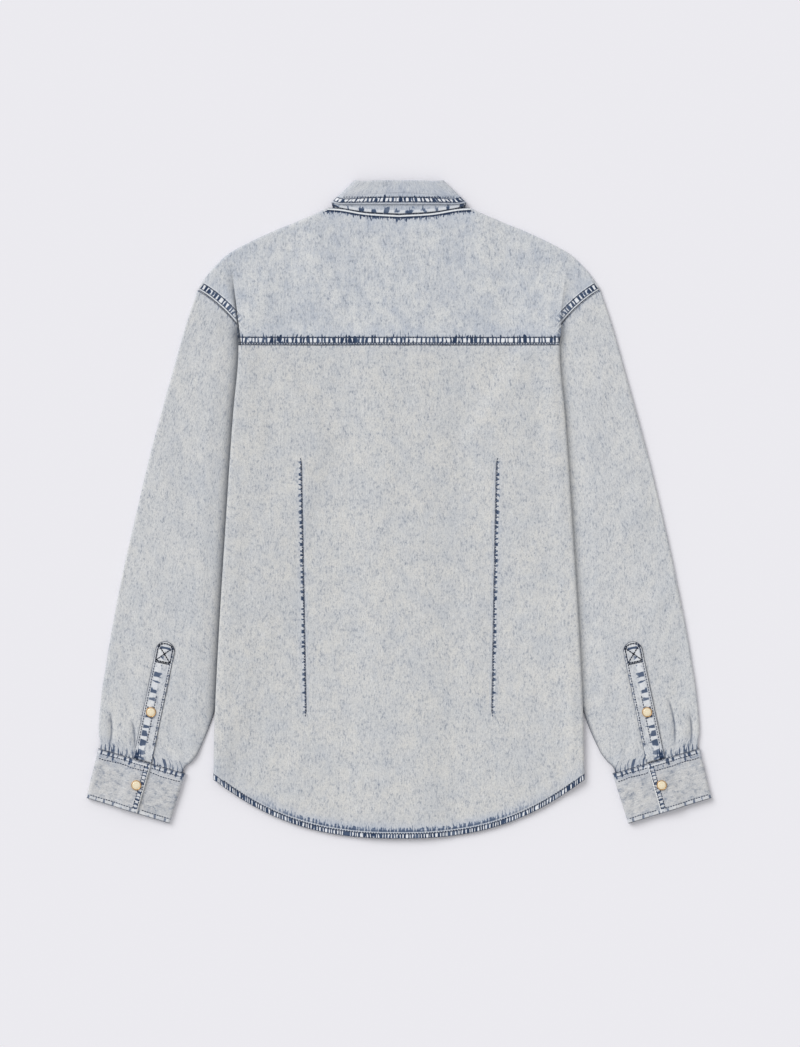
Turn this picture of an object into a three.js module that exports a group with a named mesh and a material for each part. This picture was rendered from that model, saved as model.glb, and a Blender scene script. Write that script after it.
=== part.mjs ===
// A long-sleeved denim shirt laid flat, face down with its back up.
// Millimetres, +Z up, collar towards +Y, the wearer's left on the -X side.
// The sides of the body are folded under, and the sleeves lie beneath them, pressed flat.
// Every ply is a wall about its middle surface, and the heights below stack the plies on the floor.
import * as THREE from 'three';

const { lerp, smoothstep, degToRad } = THREE.MathUtils;
const ease = (t) => smoothstep(t, 0, 1);

// Cloth and its gaps
const CLOTH = 1.0; // wall of one ply of denim
const BAND = 1.6; // collar and its stand, two plies with interfacing
const CUFF = 2.0; // cuff, two plies with a seam inside
const SEAM_GAP = 0.4; // between two pieces at a seam
const FLOOR = CLOTH / 2; // middle of a ply that lies on the floor
const PLY = CLOTH + SEAM_GAP; // rise from one ply to the next

// Heights of the body's plies above the floor ply
const OVER_SLEEVE = 2 * PLY; // where the body lies on a pressed sleeve
const FRONT_RETURN = 1.6; // the front's turned-in side lies on the back's
const FRONT_OVER_RETURN = 3.1; // the front lies on its own turned-in side
const FOLD_LIFT = 1.7; // the side fold stays a little open
const BACK_OVER_FRONT = 1.5;
const BACK_REST = 4.9; // back where the front under it is flat on the floor
const FOLD_RADIUS = 3.2; // back's turn at the side fold
const EDGE_RAMP = { before: 54, length: 48 }; // the front's climb onto the turned-in sides
const SLEEVE_RAMP = { before: 74, length: 62 }; // the body's climb onto the sleeve

// Front closure, its placket and snaps towards the floor
const CLOSURE = { halfWidth: 16, flat: 18, ramp: 46, left: 3.9, right: 5.3, backLift: 2.4 };
const PLACKET = { height: 3.0, top: 273, bottom: -377, halfWidth: 15.5 };

// Yoke, shoulder and collar heights
const YOKE_SEAM = 196.3;
const NECK_LIFT = 2.1; // the fronts and the yoke lie on the collar leaf
const SHOULDER_RADIUS_INSET = 2.7; // from the outline to the centre of the shoulder's turn
const EAR = { low: 3.3, high: 4.8, from: 214, length: 24 };
const NECK_CORNER = 87; // where the shoulder's turn starts, beside the collar
const COLLAR = { middle: 4.95, stand: 2.0, leaf: 4.15, standPart: 0.8, endLift: { left: 0.35, right: 2.35 } };
// Places along half of the collar, close together where it turns round at the side of the neck
const COLLAR_PLACES = [0, 0.12, 0.24, 0.34, 0.375, 0.4, 0.43, 0.46, 0.485, 0.52, 0.62, 0.74, 0.85, 0.95];
const STAND_ENDS = [1.02, 1.08];

// Sleeve and cuff
const SLEEVE = { pressed: 1.9, full: 4.9, tuckLow: 2.8, tuckHigh: 4.7 };
const CUFF_PLAN = { low: 1.0, high: 6.6, lap: 9.0, radius: 2.8, lapFrom: 42.5, lapFlat: 62, lapDown: 73, underlap: 60.5 };
const SLEEVE_PLACKET = { width: 23, tip: [277.9, -158.6], foot: [305.6, -292.5] };

// Half of the outline, each row one place on it
const FOLD = [
  { y: -322, x: 222.5 },
  { y: -241, x: 220.5 },
  { y: -121, x: 214.3 },
  { y: -1, x: 206.7 },
  { y: 59, x: 202.8 },
  { y: 119, x: 198.4 },
  { y: 179, x: 192.8 },
  { y: 220, x: 193.6 },
  { y: 306, x: 205 },
];
const SHOULDER = [
  { x: 82, y: 363 },
  { x: 97, y: 355.5 },
  { x: 121, y: 345 },
  { x: 145, y: 335.7 },
  { x: 169, y: 325 },
  { x: 193, y: 312.9 },
  { x: 205, y: 305.7 },
  { x: 217, y: 294.9 },
  { x: 229, y: 281.7 },
  { x: 241, y: 264.3 },
];
const FRONT_SHOULDER_SEAM = [
  { x: 78.5, y: 341 },
  { x: 145, y: 312 },
  { x: 188, y: 291 },
  { x: 207, y: 270 },
  { x: 216, y: 248 },
];
const FRONT_NECK = [
  { x: -16, y: 275 },
  { x: 2, y: 275 },
  { x: 34, y: 283 },
  { x: 66, y: 316 },
  { x: 78.5, y: 341 },
];
const BACK_NECK = [
  { x: 0, y: 353 },
  { x: 40, y: 355.4 },
  { x: 70, y: 360.3 },
  { x: 87, y: 361.5 },
];
const SLEEVE_OUTER = [
  { x: 241, y: 263.5 },
  { x: 253.5, y: 227 },
  { x: 267.5, y: 179 },
  { x: 294.5, y: 83 },
  { x: 317.5, y: -13 },
  { x: 338, y: -109 },
  { x: 354.5, y: -205 },
  { x: 359.5, y: -253 },
  { x: 359.3, y: -268 },
  { x: 355.4, y: -280 },
  { x: 359.4, y: -295 },
];
const SLEEVE_INNER = [
  { x: 108, y: 90 },
  { x: 152, y: 0 },
  { x: 182, y: -100 },
  { x: 204, y: -180 },
  { x: 221.5, y: -247 },
  { x: 240.5, y: -290 },
  { x: 249.5, y: -301 },
  { x: 256.8, y: -309.2 },
  { x: 261, y: -323.4 },
];
// Armhole seam from the shoulder tip to the armpit, a cubic curve
const ARMHOLE = [
  { x: 241, y: 263 },
  { x: 200, y: 240 },
  { x: 160, y: 185 },
  { x: 108, y: 90 },
];
const SIDE_SEAM = { top: { x: 108, y: 90 }, bottom: { x: 161, y: -299 } };
// Cuff corners, with the sleeve seam side inner and the far side outer
const CUFF_CORNERS = {
  innerTop: { x: 256, y: -316.5 },
  outerTop: { x: 360, y: -286.5 },
  innerBottom: { x: 274.8, y: -376.5 },
  outerBottom: { x: 374.5, y: -345.8 },
};
// Half of the collar as a flattened ring: the way it faces, and its neck, roll and outer edges
const COLLAR_RING = [
  { s: 0, turn: 90, neckX: 0, neckY: 353, rollX: 0, rollY: 392, edgeX: 0, edgeY: 365 },
  { s: 0.2, turn: 90, neckX: 40, neckY: 355.4, rollX: 26, rollY: 392, edgeX: 38, edgeY: 365 },
  { s: 0.36, turn: 90, neckX: 70, neckY: 360.3, rollX: 45, rollY: 391.5, edgeX: 69, edgeY: 365 },
  { s: 0.4, turn: 60, neckX: 76, neckY: 362, rollX: 49, rollY: 391, edgeX: 75, edgeY: 364.6 },
  { s: 0.43, turn: 0, neckX: 78.5, neckY: 362.8, rollX: 50.5, rollY: 390, edgeX: 77.5, edgeY: 364 },
  { s: 0.46, turn: -60, neckX: 78, neckY: 361, rollX: 50, rollY: 388, edgeX: 78.5, edgeY: 361 },
  { s: 0.5, turn: -90, neckX: 76, neckY: 352, rollX: 48, rollY: 380, edgeX: 84, edgeY: 350 },
  { s: 0.65, turn: -90, neckX: 66, neckY: 318, rollX: 41, rollY: 345, edgeX: 93, edgeY: 318 },
  { s: 0.85, turn: -90, neckX: 34, neckY: 284, rollX: 22, rollY: 316, edgeX: 86, edgeY: 270 },
  { s: 1, turn: -90, neckX: 2, neckY: 275, rollX: 9, rollY: 307, edgeX: 72, edgeY: 248 },
  { s: 1.08, turn: -90, neckX: -8, neckY: 275.3, rollX: -6, rollY: 308, edgeX: 72, edgeY: 248 },
];
// Columns and rows of the walls' grids
const GRID = { main: 10, turn: 4, side: 5, body: 12, yoke: 5, ear: 5, under: 2 };

const MATERIALS = {
  denim: new THREE.MeshStandardMaterial({ color: 0xc4c6c9, roughness: 0.92, metalness: 0 }),
  denim_band: new THREE.MeshStandardMaterial({ color: 0xb6bac2, roughness: 0.92, metalness: 0 }),
  snap_brass: new THREE.MeshStandardMaterial({ color: 0xd9a860, roughness: 0.35, metalness: 1 }),
  snap_pearl: new THREE.MeshStandardMaterial({ color: 0xf1e3c6, roughness: 0.25, metalness: 0 }),
};

const shirt = new THREE.Group();

/** The value of one column of a table at a place along another, on a smooth curve through its rows. */
function read(rows, key, column, at) {
  const last = rows.length - 1;
  const place = THREE.MathUtils.clamp(at, rows[0][key], rows[last][key]);
  let row = 0;
  while (row < last - 1 && rows[row + 1][key] < place) row += 1;
  const span = rows[row + 1][key] - rows[row][key];
  const slope = (index) => {
    const low = rows[Math.max(index - 1, 0)];
    const high = rows[Math.min(index + 1, last)];
    return ((high[column] - low[column]) / (high[key] - low[key])) * span;
  };
  const t = (place - rows[row][key]) / span;
  const [from, to] = [rows[row][column], rows[row + 1][column]];
  const bend = (1 - t) * slope(row) - t * slope(row + 1) + (2 * t - 1) * (to - from);
  return lerp(from, to, t) + t * (1 - t) * bend;
}

/**
 * Thickens a grid of middle-surface points into one closed wall with its faces pointing out.
 * Cells that are mirrored split along their other diagonal, so that both halves of a piece match.
 */
function wall({ columns, rows, at, thickness = CLOTH, keep = () => true, mirrored = () => false, loop = false }) {
  const width = loop ? columns : columns + 1;
  const vertex = (i, j) => j * width + (i % width);
  const cells = [];
  for (let j = 0; j < rows; j += 1) {
    for (let i = 0; i < columns; i += 1) {
      const cell = [vertex(i, j), vertex(i + 1, j), vertex(i + 1, j + 1), vertex(i, j + 1)];
      if (mirrored(i)) cell.push(cell.shift());
      if (keep(i, j)) cells.push(cell);
    }
  }
  const middles = [];
  for (let j = 0; j <= rows; j += 1) {
    for (let i = 0; i < width; i += 1) middles.push(new THREE.Vector3(...at(i, j)));
  }
  const normals = middles.map(() => new THREE.Vector3());
  for (const [a, b, c, d] of cells) {
    const across = middles[c].clone().sub(middles[a]);
    const normal = across.cross(middles[d].clone().sub(middles[b])).normalize();
    for (const corner of [a, b, c, d]) normals[corner].add(normal);
  }
  const numbers = new Map();
  const positions = [];
  const point = (index, face) => {
    const name = index * 2 + face;
    if (!numbers.has(name)) {
      numbers.set(name, positions.length / 3);
      const out = normals[index].clone().normalize().multiplyScalar((face ? -1 : 1) * (thickness / 2));
      positions.push(...middles[index].clone().add(out).toArray());
    }
    return numbers.get(name);
  };
  const triangles = [];
  const quad = (a, b, c, d) => triangles.push([a, b, c], [a, c, d]);
  const edges = new Set(cells.flatMap(([a, b, c, d]) => [`${a},${b}`, `${b},${c}`, `${c},${d}`, `${d},${a}`]));
  for (const [a, b, c, d] of cells) {
    quad(point(a, 0), point(b, 0), point(c, 0), point(d, 0));
    triangles.push([point(a, 1), point(c, 1), point(b, 1)], [point(a, 1), point(d, 1), point(c, 1)]);
    for (const [from, to] of [[a, b], [b, c], [c, d], [d, a]]) {
      if (!edges.has(`${to},${from}`)) quad(point(from, 0), point(from, 1), point(to, 1), point(to, 0));
    }
  }
  const corner = (index) => new THREE.Vector3().fromArray(positions, index * 3);
  const volume = triangles.reduce((sum, [a, b, c]) => sum + corner(a).dot(corner(b).cross(corner(c))), 0);
  const outward = volume > 0 ? triangles : triangles.map(([a, b, c]) => [a, c, b]);
  const geometry = new THREE.BufferGeometry();
  geometry.setAttribute('position', new THREE.Float32BufferAttribute(positions, 3));
  geometry.setIndex(outward.flat());
  return geometry;
}

/** Adds one named piece to the shirt. */
function addPiece(name, geometry, material, position = [0, 0, 0], rotation = [0, 0, 0]) {
  const mesh = new THREE.Mesh(geometry, MATERIALS[material]);
  mesh.name = name;
  mesh.position.set(...position);
  mesh.rotation.set(...rotation);
  shirt.add(mesh);
}

// ---- plan and heights, for the half with x > 0 ----

/** A point on the armhole seam, from the shoulder tip at 0 to the armpit at 1. */
function armhole(t) {
  const weights = [(1 - t) ** 3, 3 * t * (1 - t) ** 2, 3 * t * t * (1 - t), t ** 3];
  const sum = (axis) => weights.reduce((total, weight, k) => total + weight * ARMHOLE[k][axis], 0);
  return { x: sum('x'), y: sum('y') };
}

/** How far out the armhole seam is at a height on the body. */
function armholeX(y) {
  let [low, high] = [0, 1];
  for (let step = 0; step < 30; step += 1) {
    const middle = (low + high) / 2;
    if (armhole(middle).y > y) low = middle;
    else high = middle;
  }
  return armhole(low).x;
}

const foldX = (y) => read(FOLD, 'y', 'x', y);
const foldCentre = (y) => foldX(y) - CLOTH / 2 - FOLD_RADIUS;

/** The edge of the turned-in side: the armhole, and the side seam below the armpit. */
function sideEdge(y) {
  const { top, bottom } = SIDE_SEAM;
  return y > top.y ? armholeX(y) : lerp(top.x, bottom.x, (top.y - y) / (top.y - bottom.y));
}

const innerCreaseTable = [...SLEEVE_INNER].reverse();
const sleeveInnerX = (y) => (y > SIDE_SEAM.top.y ? armholeX(y) : read(innerCreaseTable, 'y', 'x', y));

/** Lift of the body where the pressed sleeve is under it. */
function overSleeve(x, y) {
  return OVER_SLEEVE * ease((x - sleeveInnerX(y) + SLEEVE_RAMP.before) / SLEEVE_RAMP.length);
}

/** Lift of the fronts and the shoulder where the collar leaf is under them. */
function overLeaf(x, y) {
  return NECK_LIFT * ease((118 - Math.abs(x)) / 16) * ease((y - 226) / 18);
}

/** Middle of a front, with x measured towards its own side. */
function frontHeight(x, y, closureLift) {
  const stacked = ease((236 - y) / 36);
  const onReturn = ease((x - sideEdge(Math.min(y, 215)) + EDGE_RAMP.before) / EDGE_RAMP.length);
  const open = ease((x - foldX(y) + 30) / 20);
  const side = overSleeve(x, y) + onReturn * (FRONT_OVER_RETURN + FOLD_LIFT * open);
  const closure = closureLift * ease((CLOSURE.flat + CLOSURE.ramp - Math.abs(x)) / CLOSURE.ramp);
  return FLOOR + side * stacked + Math.max(closure, overLeaf(x, y));
}

/** Middle of the back panel. */
function backHeight(x, y) {
  const onFront = frontHeight(x, Math.min(y, YOKE_SEAM), 0) + BACK_OVER_FRONT;
  const rest = BACK_REST + CLOSURE.backLift * ease((72 - x) / 50);
  const blend = ease((onFront - rest + 1) / 2);
  return lerp(rest, onFront, blend) + blend * (1 - blend);
}

/** Back hem, by the distance from the centre back along the cloth. */
function hemY(distance) {
  const beyond = Math.max(distance - 223, 0);
  return -394.5 + 71.5 * Math.min(distance / 223, 1) ** 2.5 + 0.8 * beyond * (1 - beyond / 134);
}

const frontHemY = (distance) => hemY(distance) + 14 * (1 - Math.min(distance / 223, 1) ** 2);

// ---- body ----

const SIDE_STEPS = GRID.main + GRID.turn + GRID.side;

/** Distance along the cloth of a column, at the hem. */
function clothDistance(step) {
  const turned = Math.max(step - GRID.main, 0);
  const out = (Math.min(step, GRID.main) / GRID.main) * 219;
  return out + Math.min(turned / GRID.turn, 1) * 7 + (Math.max(turned - GRID.turn, 0) / GRID.side) * 60;
}

/** A body panel's point: out to the side fold, round it, and in again to the side seam. */
function sidePoint(step, y, mainHeight, returnHeight) {
  const centre = foldCentre(y);
  if (step <= GRID.main) {
    const x = (centre * step) / GRID.main;
    return [x, y, mainHeight(x, y)];
  }
  const high = mainHeight(centre, y);
  const low = returnHeight(centre, y);
  const radius = (high - low) / 2;
  if (step <= GRID.main + GRID.turn) {
    const angle = (Math.PI * (step - GRID.main)) / GRID.turn;
    return [centre + radius * Math.sin(angle), y, low + radius + radius * Math.cos(angle)];
  }
  const x = lerp(centre, sideEdge(y), (step - GRID.main - GRID.turn) / GRID.side);
  return [x, y, returnHeight(x, y)];
}

/** Back panel, from the hem up to the yoke seam, with both sides turned in. */
function back() {
  const top = YOKE_SEAM - SEAM_GAP / 2;
  return wall({
    columns: 2 * SIDE_STEPS,
    rows: GRID.body,
    mirrored: (i) => i < SIDE_STEPS,
    at: (i, j) => {
      const step = Math.abs(i - SIDE_STEPS);
      const side = i < SIDE_STEPS ? -1 : 1;
      const y = lerp(hemY(clothDistance(step)), top, j / GRID.body);
      const [x, , z] = sidePoint(step, y, backHeight, (a, b) => FLOOR + overSleeve(a, b));
      return [side * x, y, z];
    },
  });
}

/** The front's upper edge: its neckline, then its shoulder seam. */
function frontTop(x) {
  const seam = x < FRONT_SHOULDER_SEAM[0].x ? FRONT_NECK : FRONT_SHOULDER_SEAM;
  const gap = x < FRONT_SHOULDER_SEAM[0].x ? 3 * SEAM_GAP : SEAM_GAP;
  return read(seam, 'x', 'y', x) - gap;
}

/** One front. Its turned-in side stops at the yoke's level, and its flat ear starts above the fold. */
function front(side) {
  const closureLift = side < 0 ? CLOSURE.left : CLOSURE.right;
  const height = (x, y) => frontHeight(x, y, closureLift);
  const returnHeight = (x, y) => FLOOR + overSleeve(x, y) + FRONT_RETURN;
  const rises = [212, 230, 248];
  const body = GRID.body;
  const flatRow = body + rises.length;
  const capRows = 3;
  const mainEnd = GRID.main + 1;
  const earX = 212;
  const upperPoint = (i, j) => {
    const level = rises[Math.min(j - body, rises.length) - 1];
    const reach = foldCentre(level) - 7 * ease((level - YOKE_SEAM) / 14);
    const beyond = (i - mainEnd) / (GRID.turn + GRID.side);
    const main = i === 0 ? -CLOSURE.halfWidth : (reach * (i - 1)) / GRID.main;
    const x = i <= mainEnd ? main : lerp(reach, earX, beyond);
    const y = lerp(level, frontTop(x), Math.max(j - flatRow, 0) / capRows);
    return [x, y, height(Math.min(x, reach), y)];
  };
  const lowerPoint = (i, j) => {
    const step = Math.max(i - 1, 0);
    const y = lerp(frontHemY(clothDistance(step)), YOKE_SEAM - SEAM_GAP, j / body);
    if (i === 0) return [-CLOSURE.halfWidth, y, height(-CLOSURE.halfWidth, y)];
    return sidePoint(step, y, height, returnHeight);
  };
  return wall({
    columns: SIDE_STEPS + 1,
    rows: flatRow + capRows,
    keep: (i, j) => i < mainEnd || j < body || j >= flatRow,
    at: (i, j) => {
      const [x, y, z] = j <= body ? lowerPoint(i, j) : upperPoint(i, j);
      return [side * x, y, z];
    },
  });
}

/** Strip of cloth down the outer front's edge, towards the floor. */
function frontPlacket() {
  const columns = 2;
  const rows = 12;
  return wall({
    columns,
    rows,
    at: (i, j) => {
      const x = PLACKET.halfWidth * (i - 1);
      return [x, lerp(PLACKET.bottom, PLACKET.top, j / rows), PLACKET.height];
    },
  });
}

// ---- yoke ----

/** Centre of the shoulder's turn and the way out of it, at a place along the outline. */
function shoulderTurn(x) {
  const slope = (read(SHOULDER, 'x', 'y', x + 1) - read(SHOULDER, 'x', 'y', x - 1)) / 2;
  const long = Math.hypot(slope, 1);
  const out = [-slope / long, 1 / long];
  const y = read(SHOULDER, 'x', 'y', x);
  return { out, centre: [x - out[0] * SHOULDER_RADIUS_INSET, y - out[1] * SHOULDER_RADIUS_INSET] };
}

/** Middle of the yoke inside the side crease. */
function yokeHeight(x, y) {
  const shoulder = BACK_REST + NECK_LIFT * ease((130 - x) / 30);
  return lerp(backHeight(x, YOKE_SEAM), shoulder, ease((y - 200) / 90));
}

/** Where each column of the yoke meets the outline. */
function yokeOutlineX(step) {
  const neckColumns = 4;
  const creaseX = 204;
  if (step <= neckColumns) return (step / neckColumns) * NECK_CORNER;
  if (step <= GRID.main) return lerp(NECK_CORNER, creaseX, (step - neckColumns) / (GRID.main - neckColumns));
  return lerp(creaseX, 240.4, (step - GRID.main) / GRID.ear);
}

/** A point of the yoke between its seam and the neck or shoulder, inside the side crease. */
function yokeMain(step, v) {
  const outlineX = yokeOutlineX(step);
  const neck = [outlineX, read(BACK_NECK, 'x', 'y', outlineX) - SEAM_GAP];
  const top = outlineX < NECK_CORNER ? neck : shoulderTurn(outlineX).centre;
  const low = YOKE_SEAM + SEAM_GAP / 2;
  const x = lerp((foldCentre(low) * step) / GRID.main, top[0], v);
  const y = lerp(low, top[1], v);
  return new THREE.Vector3(x, y, yokeHeight(x, y));
}

/** A point of the yoke's ear: it turns under at the side fold, and opens out flat at the shoulder. */
function yokeEar(across, v) {
  const start = yokeMain(GRID.main, v);
  const tip = shoulderTurn(240.4).centre;
  const endY = lerp(YOKE_SEAM + SEAM_GAP / 2, tip[1], v);
  const endX = Math.min(armholeX(endY) - SEAM_GAP, lerp(300, tip[0], v ** 4));
  const end = new THREE.Vector3(endX, endY, lerp(EAR.low, EAR.high, ease((endY - EAR.from) / EAR.length)));
  const opened = ease((v - 0.02) / 0.68);
  const along = end.clone().sub(start).setZ(0);
  const third = along.length() / 3;
  const out = new THREE.Vector3(1, 0, 0).lerp(along.normalize(), opened).normalize();
  const angle = -Math.PI * (1 - opened);
  const arrive = out.clone().multiplyScalar(Math.cos(angle)).setZ(Math.sin(angle));
  const level = Math.abs(2 * opened - 1);
  const pull = lerp(2, opened < 0.5 ? 19 : third, level);
  const first = start.clone().addScaledVector(out, lerp(4.5, third, opened));
  const second = end.clone().addScaledVector(arrive, -pull);
  const point = new THREE.CubicBezierCurve3(start, first, second, end).getPoint(across);
  const chord = yokeMain(GRID.main, 1).lerp(new THREE.Vector3(tip[0], tip[1], 0), across);
  const outline = shoulderTurn(lerp(204, 240.4, across)).centre;
  const bulge = v ** 3;
  return point.add(new THREE.Vector3((outline[0] - chord.x) * bulge, (outline[1] - chord.y) * bulge, 0));
}

/** The yoke: main field, ears, the turn over the shoulders and the strip that shows in front. */
function yoke() {
  const half = GRID.main + GRID.ear;
  const turnEnd = GRID.yoke + GRID.turn;
  const surface = (step, v) => {
    return step <= GRID.main ? yokeMain(step, v) : yokeEar((step - GRID.main) / GRID.ear, v);
  };
  const seamX = (step) => {
    if (step <= GRID.main) return lerp(78.5, 190, (step - 4) / (GRID.main - 4));
    return lerp(190, 215, (step - GRID.main) / GRID.ear);
  };
  const wrapped = (step, j) => {
    const edge = surface(step, 1);
    const { out } = shoulderTurn(yokeOutlineX(step));
    const low = FLOOR + overLeaf(edge.x, edge.y);
    const radius = (edge.z - low) / 2;
    if (j <= turnEnd) {
      const angle = (Math.PI * (j - GRID.yoke)) / GRID.turn;
      const reach = radius * Math.sin(angle);
      return [edge.x + out[0] * reach, edge.y + out[1] * reach, low + radius + radius * Math.cos(angle)];
    }
    const x = seamX(step);
    const y = read(FRONT_SHOULDER_SEAM, 'x', 'y', x) + SEAM_GAP;
    const part = (j - turnEnd) / GRID.under;
    return [lerp(edge.x, x, part), lerp(edge.y, y, part), FLOOR + overLeaf(lerp(edge.x, x, part), 300)];
  };
  return wall({
    columns: 2 * half,
    rows: turnEnd + GRID.under,
    mirrored: (i) => i < half,
    keep: (i, j) => j < GRID.yoke || Math.abs(i + 0.5 - half) > 4,
    at: (i, j) => {
      const step = Math.abs(i - half);
      const side = i < half ? -1 : 1;
      const [x, y, z] = j <= GRID.yoke ? surface(step, j / GRID.yoke).toArray() : wrapped(step, j);
      return [side * x, y, z];
    },
  });
}

// ---- collar ----

/** Half of the collar at a place along it: its neck and roll on the stand's level, and the leaf's. */
function collarAt(s, side) {
  const value = (column) => read(COLLAR_RING, 's', column, s);
  const facing = degToRad(value('turn'));
  const lift = COLLAR.endLift[side < 0 ? 'left' : 'right'] * ease((s - 0.82) / 0.13);
  const rise = new THREE.Vector2(value('rollX') - value('neckX'), value('rollY') - value('neckY')).normalize();
  const level = (x, y, offset, extra) => {
    const sideways = offset * Math.cos(facing);
    const z = COLLAR.middle + offset * Math.sin(facing) + extra;
    return new THREE.Vector3(x + sideways * rise.y, y - sideways * rise.x, z);
  };
  const inner = (x, y) => level(x, y, COLLAR.stand, lift);
  const outer = (x, y) => level(x, y, COLLAR.leaf, 0);
  return {
    neck: inner(value('neckX'), value('neckY')),
    rollInner: inner(value('rollX'), value('rollY')),
    rollOuter: outer(value('rollX'), value('rollY')),
    edge: outer(value('edgeX'), value('edgeY')),
  };
}

/** The stand, from one front end round the neck to the other. */
function collarStand() {
  const rows = 2;
  const places = [...COLLAR_PLACES, ...STAND_ENDS];
  const half = places.length - 1;
  return wall({
    columns: 2 * half,
    rows,
    mirrored: (i) => i < half,
    thickness: BAND,
    at: (i, j) => {
      const side = i < half ? -1 : 1;
      const { neck, rollInner } = collarAt(places[Math.abs(i - half)], side);
      const point = neck.lerp(rollInner, (COLLAR.standPart * j) / rows);
      return [side * point.x, point.y, point.z];
    },
  });
}

/** The leaf: up from the stand's top edge, over the roll and down to its outer edge. */
function collarLeaf() {
  const rollSteps = 3;
  const fallSteps = 2;
  const half = COLLAR_PLACES.length - 1;
  return wall({
    columns: 2 * half,
    rows: 1 + rollSteps + fallSteps,
    mirrored: (i) => i < half,
    thickness: BAND,
    at: (i, j) => {
      const side = i < half ? -1 : 1;
      const { neck, rollInner, rollOuter, edge } = collarAt(COLLAR_PLACES[Math.abs(i - half)], side);
      const up = rollInner.clone().sub(neck);
      const start = neck.clone().lerp(rollInner, COLLAR.standPart + (2 * SEAM_GAP) / up.length());
      const across = rollOuter.clone().sub(rollInner).multiplyScalar(0.5);
      const centre = rollInner.clone().add(across);
      const angle = (Math.PI * (j - 1)) / rollSteps;
      const reach = up.normalize().multiplyScalar(across.length() * Math.sin(angle));
      const roll = centre.addScaledVector(across, -Math.cos(angle)).add(reach);
      const fall = rollOuter.lerp(edge, (j - 1 - rollSteps) / fallSteps);
      const fallen = j > 1 + rollSteps ? fall : roll;
      const point = j === 0 ? start : fallen;
      return [side * point.x, point.y, point.z];
    },
  });
}

// ---- sleeves and cuffs ----

const creaseCurve = (rows) => {
  const points = rows.map(({ x, y }) => new THREE.Vector3(x, y, 0));
  return new THREE.CatmullRomCurve3(points, false, 'centripetal');
};
const OUTER_CREASE = creaseCurve(SLEEVE_OUTER);
const INNER_CREASE = creaseCurve(SLEEVE_INNER);

/** Middle of the sleeve's upper ply: pressed under the body, and full beside it. */
function sleeveTop(x, y) {
  const beside = Math.max(ease((x - foldX(y) - 3) / 26), ease((y - 218) / 24));
  return lerp(SLEEVE.pressed, SLEEVE.full, beside);
}

/** Plan of the sleeve: from the armhole at v = 0 to the cuff at 1, and from outer to inner crease. */
function sleevePlan(v, across) {
  const outer = OUTER_CREASE.getPointAt(v);
  const inner = INNER_CREASE.getPointAt(v);
  const point = outer.clone().lerp(inner, across);
  const seam = armhole(across);
  const chord = { x: lerp(ARMHOLE[0].x, ARMHOLE[3].x, across), y: lerp(ARMHOLE[0].y, ARMHOLE[3].y, across) };
  const bow = 1 - ease(v / 0.35);
  const gap = v === 0 ? SEAM_GAP : 0;
  point.x += (seam.x - chord.x) * bow + gap;
  point.y += (seam.y - chord.y) * bow - gap;
  return point;
}

/** How far across the sleeve the body's side fold crosses it. */
function foldAcross(v) {
  let [low, high] = [0.3, 0.8];
  for (let step = 0; step < 20; step += 1) {
    const middle = (low + high) / 2;
    const point = sleevePlan(v, middle);
    if (point.x > foldX(point.y) + 2) low = middle;
    else high = middle;
  }
  return low;
}

/** One sleeve, a flattened tube open at the armhole and the cuff. */
function sleeve(side) {
  const steps = { under: 4, outer: 4, beside: 3, below: 3, inner: 2 };
  const levels = [0, 0.04, 0.1, 0.17, 0.25, 0.33, 0.42, 0.52, 0.62, 0.72, 0.82, 0.9, 0.945, 0.975, 1];
  const point = (i, v) => {
    const inCuff = ease((v - 0.945) / 0.03);
    const low = lerp(FLOOR, SLEEVE.tuckLow, inCuff);
    const top = (x, y) => lerp(sleeveTop(x, y), SLEEVE.tuckHigh, inCuff);
    const inset = { outer: 0.02, inner: 0.985 };
    let step = i;
    if (step < steps.under) {
      const plan = sleevePlan(v, lerp(inset.inner, inset.outer, step / steps.under));
      return [plan.x, plan.y, low];
    }
    step -= steps.under;
    const turn = (across, steps_, direction) => {
      const plan = sleevePlan(v, across);
      const ahead = sleevePlan(v, across - direction * 0.01).sub(plan).normalize();
      const radius = (top(plan.x, plan.y) - low) / 2;
      const angle = (Math.PI * step) / steps_;
      const reach = radius * Math.sin(angle);
      const height = low + radius - direction * radius * Math.cos(angle);
      return [plan.x + ahead.x * reach, plan.y + ahead.y * reach, height];
    };
    if (step < steps.outer) return turn(inset.outer, steps.outer, 1);
    step -= steps.outer;
    const crossing = foldAcross(v);
    if (step < steps.beside) {
      const plan = sleevePlan(v, lerp(inset.outer, crossing, step / steps.beside));
      return [plan.x, plan.y, top(plan.x, plan.y)];
    }
    step -= steps.beside;
    if (step < steps.below) {
      const plan = sleevePlan(v, lerp(crossing, inset.inner, step / steps.below));
      return [plan.x, plan.y, top(plan.x, plan.y)];
    }
    step -= steps.below;
    return turn(inset.inner, steps.inner, -1);
  };
  const columns = Object.values(steps).reduce((sum, count) => sum + count, 0);
  return wall({
    columns,
    rows: levels.length - 1,
    loop: true,
    at: (i, j) => {
      const [x, y, z] = point(i, levels[j]);
      return [side * x, y, z];
    },
  });
}

/** A place on the cuff, from its inner crease and its top edge, both in millimetres. */
function cuffPlan(a, b) {
  const { innerTop, outerTop, innerBottom, outerBottom } = CUFF_CORNERS;
  const width = Math.hypot(outerTop.x - innerTop.x, outerTop.y - innerTop.y);
  const height = Math.hypot(innerBottom.x - innerTop.x, innerBottom.y - innerTop.y);
  const [u, w] = [a / width, b / height];
  const mix = (axis) => lerp(lerp(innerTop[axis], outerTop[axis], u), lerp(innerBottom[axis], outerBottom[axis], u), w);
  return { x: mix('x'), y: mix('y'), width, height };
}

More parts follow.
